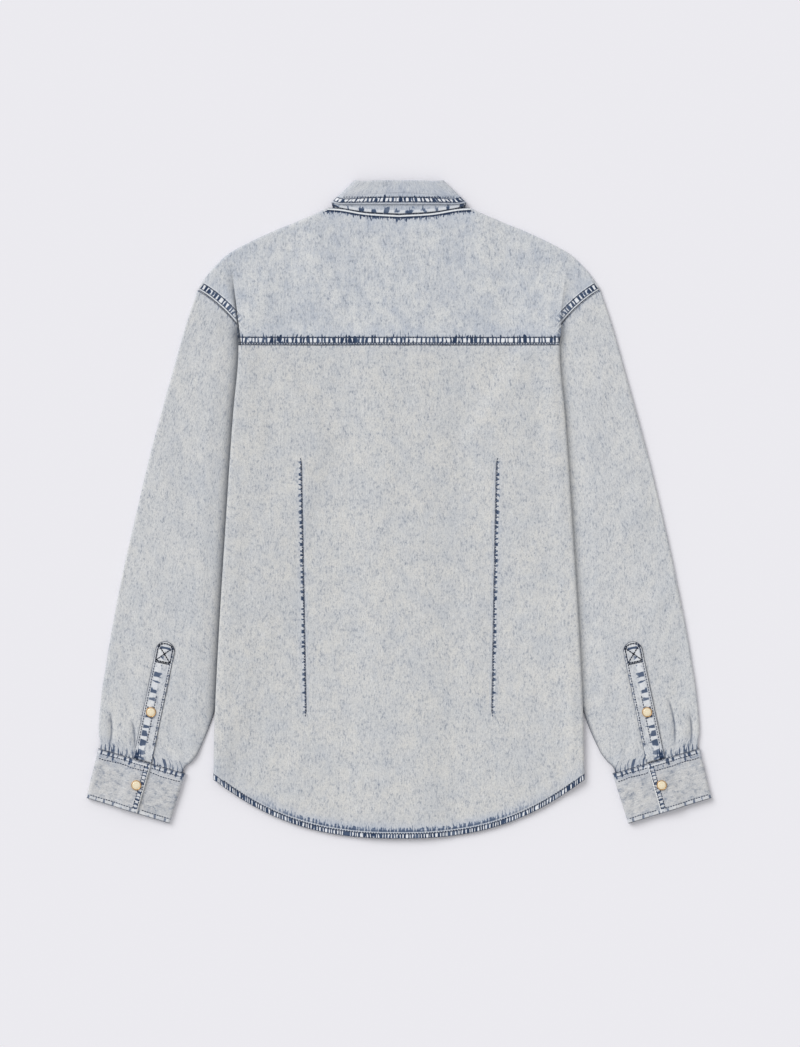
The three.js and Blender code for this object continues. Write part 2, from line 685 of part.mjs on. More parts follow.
/** One cuff: a band closed round the wrist, with its outer end lapped over the inner one. */
function cuff(side) {
  const { low, high, lap, radius, lapFrom, lapFlat, lapDown, underlap } = CUFF_PLAN;
  const { width, height } = cuffPlan(0, 0);
  const edge = radius + CUFF / 2;
  const bend = (centre, direction) => [0, 1, 2, 3, 4].map((step) => {
    const angle = (Math.PI * step) / 4;
    const reach = direction * radius * Math.sin(angle);
    return { a: centre + reach, z: low + radius + direction * radius * Math.cos(angle) };
  });
  const path = [
    { a: lapFrom, z: lap },
    { a: (lapFrom + lapFlat) / 2, z: lap },
    { a: lapFlat, z: lap },
    { a: lapDown, z: high },
    { a: (lapDown + width) / 2, z: high },
    ...bend(width - edge, 1),
    { a: (2 * width) / 3, z: low },
    { a: width / 3, z: low },
    ...bend(edge, -1),
    { a: underlap / 2, z: high },
    { a: underlap, z: high },
  ];
  const rows = 3;
  return wall({
    columns: path.length - 1,
    rows,
    thickness: CUFF,
    at: (i, j) => {
      const { x, y } = cuffPlan(path[i].a, (height * j) / rows);
      return [side * x, y, path[i].z];
    },
  });
}

/** The placket on a sleeve: a strip with a round tip, on the sleeve's upper ply. */
function sleevePlacket(side) {
  const { width, tip, foot } = SLEEVE_PLACKET;
  const long = Math.hypot(foot[0] - tip[0], foot[1] - tip[1]);
  const down = [(foot[0] - tip[0]) / long, (foot[1] - tip[1]) / long];
  const half = width / 2;
  const tipRows = [0.6, 3.4, 8, half];
  const rows = 10;
  const { innerTop, outerTop } = CUFF_CORNERS;
  const slope = (outerTop.y - innerTop.y) / (outerTop.x - innerTop.x);
  const toCuff = (x, y) => {
    return (y - innerTop.y - slope * (x - innerTop.x)) / (down[0] * slope - down[1]);
  };
  return wall({
    columns: 2,
    rows,
    at: (i, j) => {
      const distance = tipRows[Math.min(j, tipRows.length - 1)];
      const reach = Math.sqrt(half ** 2 - (half - Math.min(distance, half)) ** 2) * (i - 1);
      const x = tip[0] - down[1] * reach;
      const y = tip[1] + down[0] * reach;
      const full = toCuff(x, y) - 2 * SEAM_GAP;
      const part = Math.max(j - tipRows.length + 1, 0) / (rows - tipRows.length + 1);
      const run = lerp(distance, full, part);
      return [side * (x + down[0] * run), y + down[1] * run, sleeveTop(x, y) + PLY];
    },
  });
}

// ---- snaps ----

const SNAP = { radius: 6, height: 2.2, segments: 12 };

/** The metal cup of a snap, with its rolled rim. */
function snapCup() {
  const profile = [[0, 0], [SNAP.radius, 0], [SNAP.radius, 1.3], [5.5, 1.9], [4.8, 1.9], [4.4, 1.5], [4.4, 0.5], [0, 0.5]];
  return new THREE.LatheGeometry(profile.map(([r, h]) => new THREE.Vector2(r, h)), SNAP.segments);
}

/** The pearl face that sits in a snap's cup. */
function snapPearl() {
  const profile = [[0, 0.8], [4.1, 0.8], [4.1, 1.5], [2.5, 2.0], [0, SNAP.height]];
  return new THREE.LatheGeometry(profile.map(([r, h]) => new THREE.Vector2(r, h)), SNAP.segments);
}

/** A snap's two pieces, facing up on a surface, or down with its face on the floor. */
function addSnap(name, x, y, z, facing) {
  const position = facing > 0 ? [x, y, z] : [x, y, SNAP.height];
  const rotation = [(facing * Math.PI) / 2, 0, 0];
  addPiece(`${name}_cup`, snapCup(), 'snap_brass', position, rotation);
  addPiece(`${name}_pearl`, snapPearl(), 'snap_pearl', position, rotation);
}

// ---- the whole shirt ----

addPiece('back', back(), 'denim');
addPiece('yoke', yoke(), 'denim');
addPiece('placket_front', frontPlacket(), 'denim_band');
addPiece('collar_stand', collarStand(), 'denim_band');
addPiece('collar_leaf', collarLeaf(), 'denim_band');
for (const [word, side] of [['left', -1], ['right', 1]]) {
  addPiece(`front_${word}`, front(side), 'denim');
  addPiece(`sleeve_${word}`, sleeve(side), 'denim');
  addPiece(`cuff_${word}`, cuff(side), 'denim_band');
  addPiece(`sleeve_placket_${word}`, sleevePlacket(side), 'denim_band');
  const cuffSnap = cuffPlan(52.4, 29.8);
  const cuffTop = CUFF_PLAN.lap + CUFF / 2 + 0.3;
  addSnap(`snap_cuff_${word}`, side * cuffSnap.x, cuffSnap.y, cuffTop, 1);
  const sleeveTopFace = SLEEVE.full + PLY + CLOTH / 2 + 0.3;
  addSnap(`snap_sleeve_${word}`, side * 297, -243, sleeveTopFace, 1);
}
const FRONT_SNAPS = { stand: 291, first: 240, pitch: 88, count: 6 };
addSnap('snap_front_0', 0, FRONT_SNAPS.stand, 0, -1);
for (let n = 0; n < FRONT_SNAPS.count; n += 1) {
  addSnap(`snap_front_${n + 1}`, 0, FRONT_SNAPS.first - n * FRONT_SNAPS.pitch, 0, -1);
}

export default shirt;
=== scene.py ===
"""Looks of a long-sleeved denim shirt that lies flat, face down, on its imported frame.

Plans and heights are in millimetres, with +Z up and the collar towards +Y, and become metres where a
mesh is made. Every cloth piece is a thin shell about a grid of middle-surface points. The grid also
carries what the finishes read: the place on the cloth's grain, and the place along each seam.
"""

from __future__ import annotations

import logging
import math
from dataclasses import dataclass, field, replace
from enum import Enum

import bpy
import numpy as np
from bpy.types import Material, Node, NodeSocket, NodeTree, Object
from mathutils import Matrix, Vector
from mathutils.bvhtree import BVHTree

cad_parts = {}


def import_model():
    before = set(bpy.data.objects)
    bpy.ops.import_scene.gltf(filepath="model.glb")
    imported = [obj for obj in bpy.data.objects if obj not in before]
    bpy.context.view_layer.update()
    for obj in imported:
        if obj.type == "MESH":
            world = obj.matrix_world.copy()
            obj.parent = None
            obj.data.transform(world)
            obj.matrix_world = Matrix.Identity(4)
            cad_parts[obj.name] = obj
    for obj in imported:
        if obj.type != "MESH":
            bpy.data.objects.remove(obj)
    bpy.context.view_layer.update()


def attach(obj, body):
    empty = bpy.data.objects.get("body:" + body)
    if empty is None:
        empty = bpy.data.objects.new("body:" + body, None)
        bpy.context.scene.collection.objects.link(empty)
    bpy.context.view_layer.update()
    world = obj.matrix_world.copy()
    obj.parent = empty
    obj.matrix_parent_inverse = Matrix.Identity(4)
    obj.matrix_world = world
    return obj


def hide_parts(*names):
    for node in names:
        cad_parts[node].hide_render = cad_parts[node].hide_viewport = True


log = logging.getLogger("shirt")

MM = 0.001
Array = np.ndarray
Pair = tuple[float, float]

BODY = "root"
FAR = 900.0  # a distance from a seam that is out of its reach


# ---- numbers ----


def ease(t: Array) -> Array:
    """A smooth rise from 0 to 1, at a place on it that is clipped to 0..1."""
    t = np.clip(t, 0.0, 1.0)
    return t * t * (3.0 - 2.0 * t)


def blend(a: Array, b: Array, t: Array) -> Array:
    """The value a share t of the way from a to b."""
    return a + (b - a) * t


def bell(distance: Array, width: Array) -> Array:
    """A soft bump of height 1, about as wide as its width on each side."""
    return np.exp(-((distance / width) ** 2))


def uneven(u: Array, v: Array, cell: Pair, seed: int) -> Array:
    """Smooth uneven values, one random value to a cell.

    Args:
        u: first place, in millimetres.
        v: second place, in millimetres.
        cell: size of a cell in each direction.
        seed: which random values.

    Returns:
        Values from -1 to 1.
    """
    size = 128
    table = np.random.default_rng(seed).uniform(-1.0, 1.0, (size, size))
    a, b = np.broadcast_arrays(np.asarray(u, float) / cell[0], np.asarray(v, float) / cell[1])
    i, j = np.floor(a).astype(int), np.floor(b).astype(int)
    s, t = ease(a - i), ease(b - j)
    low = blend(table[i % size, j % size], table[(i + 1) % size, j % size], s)
    high = blend(table[i % size, (j + 1) % size], table[(i + 1) % size, (j + 1) % size], s)
    return blend(low, high, t)


def spaced(stops: list[Pair]) -> Array:
    """Places along a line, with a spacing of their own in each stretch.

    Args:
        stops: the end of each stretch and the spacing in it; the first one's spacing isn't used.

    Returns:
        The places, from the first end to the last.
    """
    places = [stops[0][0]]
    for (start, _), (end, step) in zip(stops, stops[1:]):
        count = max(1, round(abs(end - start) / step))
        places.extend(np.linspace(start, end, count + 1)[1:])
    return np.array(places)


def lengths(line: Array) -> Array:
    """How far along a line each of its points is."""
    return np.concatenate([[0.0], np.cumsum(np.linalg.norm(np.diff(line, axis=0), axis=1))])


def read_line(where: Array, line: Array) -> Array:
    """The places at some lengths along a line, x and y last."""
    run = lengths(line)
    return np.stack([np.interp(where, run, line[:, n]) for n in (0, 1)], axis=-1)


def unit(ways: Array) -> Array:
    """Vectors with a length of 1, in the same directions."""
    return ways / np.linalg.norm(ways, axis=-1, keepdims=True)


def bezier(a: Array, b: Array, c: Array, d: Array, t: Array) -> Array:
    """Points of the cubic curve from a to d that leaves towards b and comes in from c."""
    return (1 - t) ** 3 * a + 3 * t * (1 - t) ** 2 * b + 3 * t * t * (1 - t) * c + t**3 * d


@dataclass(frozen=True)
class Curve:
    """A smooth curve through a few places, each a position and a value there."""

    at: tuple[float, ...]
    value: tuple[float, ...]

    def __call__(self, x: Array) -> Array:
        """Reads the curve.

        Args:
            x: positions, held between the first and the last place.

        Returns:
            The values there.
        """
        at, value = np.array(self.at), np.array(self.value)
        last = len(at) - 1
        before = np.maximum(np.arange(last + 1) - 1, 0)
        after = np.minimum(np.arange(last + 1) + 1, last)
        slope = (value[after] - value[before]) / (at[after] - at[before])
        place = np.clip(x, at[0], at[-1])
        k = np.clip(np.searchsorted(at, place, side="right") - 1, 0, last - 1)
        span = at[k + 1] - at[k]
        t = (place - at[k]) / span
        rise = value[k + 1] - value[k]
        bend = (1 - t) * slope[k] * span - t * slope[k + 1] * span + (2 * t - 1) * rise
        return value[k] + rise * t + t * (1 - t) * bend


@dataclass(frozen=True)
class Path:
    """A smooth path in plan through a few points, read by its length."""

    points: tuple[Pair, ...]

    def fine(self) -> Array:
        """The path as many short steps.

        Returns:
            The points, x and y last.
        """
        points = np.array(self.points)
        place = lengths(points)
        where = np.linspace(0.0, place[-1], 800)
        columns = [Curve(tuple(place), tuple(points[:, axis]))(where) for axis in (0, 1)]
        return np.stack(columns, axis=-1)

    def at(self, share: Array) -> Array:
        """Points at shares of the path's length, from 0 at its start to 1 at its end."""
        line = self.fine()
        return read_line(share * lengths(line)[-1], line)


# ---- the shirt's plan and the heights of its plies ----


class Side(Enum):
    """The wearer's side that a piece is on, as the sign of its x."""

    LEFT = -1
    RIGHT = 1

    @property
    def word(self) -> str:
        """The word that ends the piece's name."""
        return self.name.lower()


@dataclass(frozen=True)
class Plan:
    """Outline and heights of the laid shirt, for the half with x over 0."""

    cloth: float = 1.0
    seam_gap: float = 0.4
    yoke_seam: float = 196.3
    fold_radius: float = 3.2
    neck_corner: float = 87.0
    crease_top: float = 204.0
    tip_x: float = 240.4
    turn_inset: float = 2.7
    fold: Curve = Curve(
        (-322, -241, -121, -1, 59, 119, 179, 220, 306),
        (222.5, 220.5, 214.3, 206.7, 202.8, 198.4, 192.8, 193.6, 205),
    )
    shoulder: Curve = Curve(
        (82, 97, 121, 145, 169, 193, 205, 217, 229, 241),
        (363, 355.5, 345, 335.7, 325, 312.9, 305.7, 294.9, 281.7, 264.3),
    )
    front_shoulder: Curve = Curve((78.5, 145, 188, 207, 216), (341, 312, 291, 270, 248))
    front_neck: Curve = Curve((-16, 2, 34, 66, 78.5), (275, 275, 283, 316, 341))
    back_neck: Curve = Curve((0, 40, 70, 87), (353, 355.4, 360.3, 361.5))
    sleeve_outer: Path = Path((
        (241, 263.5), (253.5, 227), (267.5, 179), (294.5, 83), (317.5, -13), (338, -109),
        (354.5, -205), (359.5, -253), (359.8, -268), (358.4, -280), (359.4, -295),
    ))
    sleeve_inner: Path = Path((
        (108, 90), (152, 0), (182, -100), (204, -180), (221.5, -247), (240.5, -290),
        (249.5, -301), (256.8, -309.2), (261, -323.4),
    ))
    inner_by_y: Curve = Curve(
        (-323.4, -309.2, -301, -290, -247, -180, -100, 0, 90),
        (261, 256.8, 249.5, 240.5, 221.5, 204, 182, 152, 108),
    )
    armhole_points: tuple[Pair, ...] = ((241, 263), (200, 240), (160, 185), (108, 90))
    half_width: float = 223.0
    hem_low: float = -394.5
    hem_sweep: float = 71.5
    armpit: Pair = (108, 90)
    side_foot: Pair = (161, -299)

    def armhole(self, t: Array) -> Array:
        """Points on the armhole seam, from the shoulder tip at 0 to the armpit at 1."""
        t = np.asarray(t, float)[..., None]
        a, b, c, d = (np.array(p, float) for p in self.armhole_points)
        return bezier(a, b, c, d, t)

    def armhole_x(self, y: Array) -> Array:
        """How far out the armhole seam is at a height on the body."""
        points = self.armhole(np.linspace(0, 1, 400))[::-1]
        return np.interp(y, points[:, 1], points[:, 0])

    def fold_centre(self, y: Array) -> Array:
        """Where the turn of the side fold starts."""
        return self.fold(y) - self.cloth / 2 - self.fold_radius

    def side_edge(self, y: Array) -> Array:
        """The edge of the turned-in side: the armhole, and the side seam below the armpit."""
        share = (self.armpit[1] - y) / (self.armpit[1] - self.side_foot[1])
        seam = blend(self.armpit[0], self.side_foot[0], share)
        return np.where(y > self.armpit[1], self.armhole_x(y), seam)

    def over_sleeve(self, x: Array, y: Array) -> Array:
        """Lift of the body where the pressed sleeve is under it."""
        inner = np.where(y > self.armpit[1], self.armhole_x(y), self.inner_by_y(y))
        return 2.8 * ease((x - inner + 74) / 62)

    def over_leaf(self, x: Array, y: Array) -> Array:
        """Lift of the fronts and the shoulder where the collar leaf is under them."""
        return 2.1 * ease((118 - np.abs(x)) / 16) * ease((y - 226) / 18)

    def front(self, x: Array, y: Array, closure_lift: float) -> Array:
        """Middle of a front.

        Args:
            x: out from the centre, towards the front's own side.
            y: up the body.
            closure_lift: how far the snaps and the other front lift it at the centre.

        Returns:
            Its height.
        """
        stacked = ease((236 - y) / 36)
        on_return = ease((x - self.side_edge(np.minimum(y, 215)) + 54) / 48)
        opened = ease((x - self.fold(y) + 30) / 20)
        side = self.over_sleeve(x, y) + on_return * (3.1 + 1.7 * opened)
        closure = closure_lift * ease((64 - np.abs(x)) / 46)
        return self.cloth / 2 + side * stacked + np.maximum(closure, self.over_leaf(x, y))

    def back(self, x: Array, y: Array) -> Array:
        """Middle of the back panel, and of the yoke at their seam."""
        on_front = self.front(x, np.minimum(y, self.yoke_seam), 0.0) + 1.5
        rest = 4.9 + 2.4 * ease((72 - x) / 50)
        share = ease((on_front - rest + 1) / 2)
        return blend(rest, on_front, share) + share * (1 - share)

    def side_return(self, x: Array, y: Array) -> Array:
        """Middle of the back's turned-in side."""
        return self.cloth / 2 + self.over_sleeve(x, y)

    def yoke(self, x: Array, y: Array) -> Array:
        """Middle of the yoke inside the side crease."""
        shoulder = 4.9 + 2.1 * ease((130 - x) / 30)
        return blend(self.back(x, np.full_like(x, self.yoke_seam)), shoulder, ease((y - 200) / 90))

    def shoulder_turn(self, x: Array) -> tuple[Array, Array]:
        """The shoulder's turn at a place along the outline.

        Args:
            x: how far out on the outline.

        Returns:
            The centre of the turn, and the way out of it.
        """
        slope = (self.shoulder(x + 1) - self.shoulder(x - 1)) / 2
        out = unit(np.stack([-slope, np.ones_like(slope)], axis=-1))
        outline = np.stack([x, self.shoulder(x)], axis=-1)
        return outline - out * self.turn_inset, out

    def sleeve_top(self, x: Array, y: Array) -> Array:
        """Middle of the sleeve's upper ply: pressed under the body, and full beside it."""
        beside = np.maximum(ease((x - self.fold(y) - 3) / 26), ease((y - 218) / 24))
        return blend(1.9, 4.9, beside)

    def hem(self, distance: Array) -> Array:
        """The back hem's y, by the distance from the centre back along the cloth."""
        beyond = np.maximum(distance - self.half_width, 0)
        sweep = self.hem_sweep * np.minimum(distance / self.half_width, 1) ** 2.5
        return self.hem_low + sweep + 0.8 * beyond * (1 - beyond / 134)

    def front_hem(self, distance: Array) -> Array:
        """The front hem's y, a little higher at the centre."""
        return self.hem(distance) + 14 * (1 - np.minimum(distance / self.half_width, 1) ** 2)


PLAN = Plan()


@dataclass(frozen=True)
class Crease:
    """One soft trough or ridge that was pressed or pulled into the cloth by hand.

    Its ends are on the piece's plan, its width is to each side, and its height is under 0 in a trough.
    """

    start: Pair
    end: Pair
    width: float
    height: float

    def beside(self, x: Array, y: Array) -> tuple[Array, Array]:
        """Where places are against the crease.

        Args:
            x: places on the plan.
            y: places on the plan.

        Returns:
            How far each is to the side of its bottom line, and how much is left of it there.
        """
        along = np.subtract(self.end, self.start)
        length = float(np.hypot(*along))
        along = along / length
        dx, dy = x - self.start[0], y - self.start[1]
        run = (dx * along[0] + dy * along[1]) / length
        off = dy * along[0] - dx * along[1]
        bow = 0.06 * length * np.sin(np.clip(run, 0, 1) * math.pi)
        return off - bow, ease(run / 0.3) * ease((1 - run) / 0.35)

    def lift(self, x: Array, y: Array) -> Array:
        """How far the crease moves the cloth, fading out at both ends."""
        off, left = self.beside(x, y)
        return self.height * bell(off, self.width) * left


def creased(creases: tuple[Crease, ...], x: Array, y: Array) -> Array:
    """The sum of several creases at places on the plan."""
    return sum((crease.lift(x, y) for crease in creases), np.zeros_like(x))


# ---- meshes ----


@dataclass
class Shell:
    """A piece of cloth: a wall about a grid of middle-surface points.

    Points, grain and seams are rows of columns. Grain is the place across and along the warp. A seam
    is the place along it, the distance from it, and how strongly it shows.
    """

    name: str
    points: Array
    grain: Array
    seams: dict[str, Array] = field(default_factory=dict)
    thickness: float = 1.0
    relief: Array | None = None
    keep: Array | None = None
    loop: bool = False

    def normals(self) -> Array:
        """Unit normals of the grid."""
        points = self.points
        if self.loop:
            around = np.roll(points, -1, axis=1) - np.roll(points, 1, axis=1)
        else:
            around = np.gradient(points, axis=1)
        normals = np.cross(around, np.gradient(points, axis=0))
        size = np.linalg.norm(normals, axis=-1, keepdims=True)
        return normals / np.maximum(size, 1e-9)

    def area(self) -> float:
        """The flat area of the cloth, in square metres."""
        points = np.concatenate([self.points, self.points[:, :1]], axis=1) if self.loop else self.points
        across = points[1:, 1:] - points[:-1, :-1]
        other = points[1:, :-1] - points[:-1, 1:]
        cells = np.linalg.norm(np.cross(across, other), axis=-1) / 2
        if self.keep is not None:
            cells = cells * self.keep
        return float(cells.sum()) * MM * MM

    def sided(self, side: Side) -> Shell:
        """The same piece on one side of the shirt.

        Args:
            side: the wearer's side. The piece is given as it is on the right one.

        Returns:
            The piece, with its columns the other way round on the left side.
        """
        if side is Side.RIGHT:
            return self
        seams = {name: values[:, ::-1] for name, values in self.seams.items()}
        keep = None if self.keep is None else self.keep[:, ::-1]
        relief = None if self.relief is None else self.relief[:, ::-1]
        points = self.points[:, ::-1] * (-1, 1, 1)
        grain = self.grain[:, ::-1] * (-1, 1) + (613.0, 287.0)
        return replace(self, points=points, grain=grain, seams=seams, relief=relief, keep=keep)

    def build(self) -> Object:
        """Makes the piece's closed mesh, with its grain and seams as attributes.

        Returns:
            The new object, linked to the scene.
        """
        rows, width = self.points.shape[:2]
        columns = width if self.loop else width - 1
        normals = self.normals()
        middle = self.points if self.relief is None else self.points + normals * self.relief[..., None]
        faces = [middle + normals * (sign * self.thickness / 2) for sign in (1, -1)]
        vertices = np.concatenate([face.reshape(-1, 3) for face in faces]) * MM
        j, i = np.meshgrid(np.arange(rows - 1), np.arange(columns), indexing="ij")
        kept = np.ones_like(j, bool) if self.keep is None else self.keep
        j, i = j[kept], i[kept]
        k = (i + 1) % width
        corners = np.stack([j * width + i, j * width + k, (j + 1) * width + k, (j + 1) * width + i], axis=1)
        under = rows * width
        edges = np.concatenate([corners[:, [n, (n + 1) % 4]] for n in range(4)])
        key, back_key = edges[:, 0] * under + edges[:, 1], edges[:, 1] * under + edges[:, 0]
        rim = edges[~np.isin(key, back_key)]
        sides = np.stack([rim[:, 0], rim[:, 0] + under, rim[:, 1] + under, rim[:, 1]], axis=1)
        quads = np.concatenate([corners, corners[:, ::-1] + under, sides])
        used, quads = np.unique(quads, return_inverse=True)
        quads = quads.reshape(-1, 4)
        vertices = vertices[used]
        a, b, c = (vertices[quads[:, n]] for n in range(3))
        if (a * np.cross(b, c)).sum() < 0:
            quads = quads[:, ::-1]
        piece = new_object(f"{self.name}_cloth", vertices.tolist(), quads.tolist())
        layers = {"grain": np.concatenate([self.grain, np.zeros((rows, width, 1))], axis=-1), **self.seams}
        for layer_name, values in layers.items():
            both = np.concatenate([values.reshape(-1, 3)] * 2)[used]
            layer = piece.data.attributes.new(layer_name, "FLOAT_VECTOR", "POINT")
            layer.data.foreach_set("vector", both.astype(np.float32).ravel())
        return piece


def place(piece: Object) -> Object:
    """Links an object to the scene."""
    bpy.context.scene.collection.objects.link(piece)
    return piece


def new_object(name: str, points: list, faces: list) -> Object:
    """Adds a smooth mesh to the scene.

    Args:
        name: the new object's name.
        points: its points, in metres.
        faces: its faces, as indices of the points.

    Returns:
        The new object.
    """
    mesh = bpy.data.meshes.new(name)
    mesh.from_pydata(points, [], faces)
    mesh.polygons.foreach_set("use_smooth", np.ones(len(faces), bool))
    return place(bpy.data.objects.new(name, mesh))


def seam_values(along: Array, distance: Array, strength: Array | float = 1.0) -> Array:
    """One seam's layer: the place along it, the distance from it and how strongly it shows."""
    return np.stack(np.broadcast_arrays(along, distance, strength), axis=-1).astype(float)


def revolve(name: str, profile: list[Pair], steps: int) -> Object:
    """Turns a profile about the upright axis into a closed mesh.

    Args:
        name: the object's name.
        profile: radius and height of each ring, from the axis round to the axis again.
        steps: how many columns go round.

    Returns:
        The new object, at the origin, in metres.
    """
    angles = np.arange(steps) * 2 * math.pi / steps
    rings = profile[1:-1]
    points = [[r * math.cos(a) * MM, r * math.sin(a) * MM, h * MM] for r, h in rings for a in angles]
    points += [[0, 0, profile[0][1] * MM], [0, 0, profile[-1][1] * MM]]
    low, high = len(points) - 2, len(points) - 1
    faces = []
    for i in range(steps):
        k = (i + 1) % steps
        faces.append([low, k, i])
        for ring in range(len(rings) - 1):
            base = ring * steps
            faces.append([base + i, base + k, base + steps + k, base + steps + i])
        top = (len(rings) - 1) * steps
        faces.append([top + i, top + k, high])
    return new_object(name, points, faces)


# ---- finishes ----


def linear(hex_colour: str) -> tuple[float, float, float, float]:
    """An sRGB hex colour as linear light.

    Args:
        hex_colour: six hex digits.

    Returns:
        Red, green, blue and an alpha of 1.
    """
    parts = [int(hex_colour[n : n + 2], 16) / 255 for n in (0, 2, 4)]
    light = [c / 12.92 if c <= 0.04045 else ((c + 0.055) / 1.055) ** 2.4 for c in parts]
    return (light[0], light[1], light[2], 1.0)


def new_material(name: str) -> tuple[Material, NodeTree]:
    """Starts a material.

    Args:
        name: the new material's name.

    Returns:
        The material, and its tree with nothing in it.
    """
    material = bpy.data.materials.new(name)
    material.use_nodes = True
    material.node_tree.nodes.clear()
    return material, material.node_tree


def add(tree: NodeTree, kind: str, *inputs: object, **settings: object) -> Node:
    """Adds a node with its settings and links.

    Args:
        tree: the material's tree.
        kind: the shader node's type, without its usual prefix.
        inputs: for each input in order, a node or socket to link, a value, or None to leave it.
        settings: properties of the node, and values or links of inputs by name, with _ for a space.

    Returns:
        The new node.
    """
    node = tree.nodes.new("ShaderNode" + kind)
    named = {key: value for key, value in settings.items() if not hasattr(node, key)}
    for key in settings.keys() - named.keys():
        setattr(node, key, settings[key])
    wanted = [(n, value) for n, value in enumerate(inputs) if value is not None]
    wanted += [(key.replace("_", " "), value) for key, value in named.items()]
    for key, value in wanted:
        socket = node.inputs[key]
        if isinstance(value, Node):
            tree.links.new(value.outputs[0], socket)
        elif isinstance(value, NodeSocket):
            tree.links.new(value, socket)
        else:
            socket.default_value = value
    return node


@dataclass(frozen=True)
class Stitching:
    """A row of stitches beside a seam, drawn as the dark dent it pulls in the cloth."""

    distance: float
    width: float = 1.0
    strength: float = 0.9
    colour: str = "24324C"


@dataclass(frozen=True)
class SeamLook:
    """How bleach and abrasion mark a seam.

    The rope-like puckers along a seam keep indigo in their hollows and lose it on their ridges, so the
    eye sees white and navy bars between the rows of stitches, and spikes of both beyond them.
    """

    layer: str
    bars: Pair
    pitch: float
    spikes: float
    stitches: tuple[Stitching, ...]
    navy: float = 0.9
    white: float = 0.8
    halo: Pair = (18.0, 0.2)
    cover: float = 0.5
    seed: float = 0.0


@dataclass(frozen=True)
class Shade:
    """Painted shade: the cloth darkens towards a pressed edge, fold or crease where shade falls, beside
    another ply that lies higher.
    """

    layer: str
    reach: float = 15.0
    colour: str = "343A45"


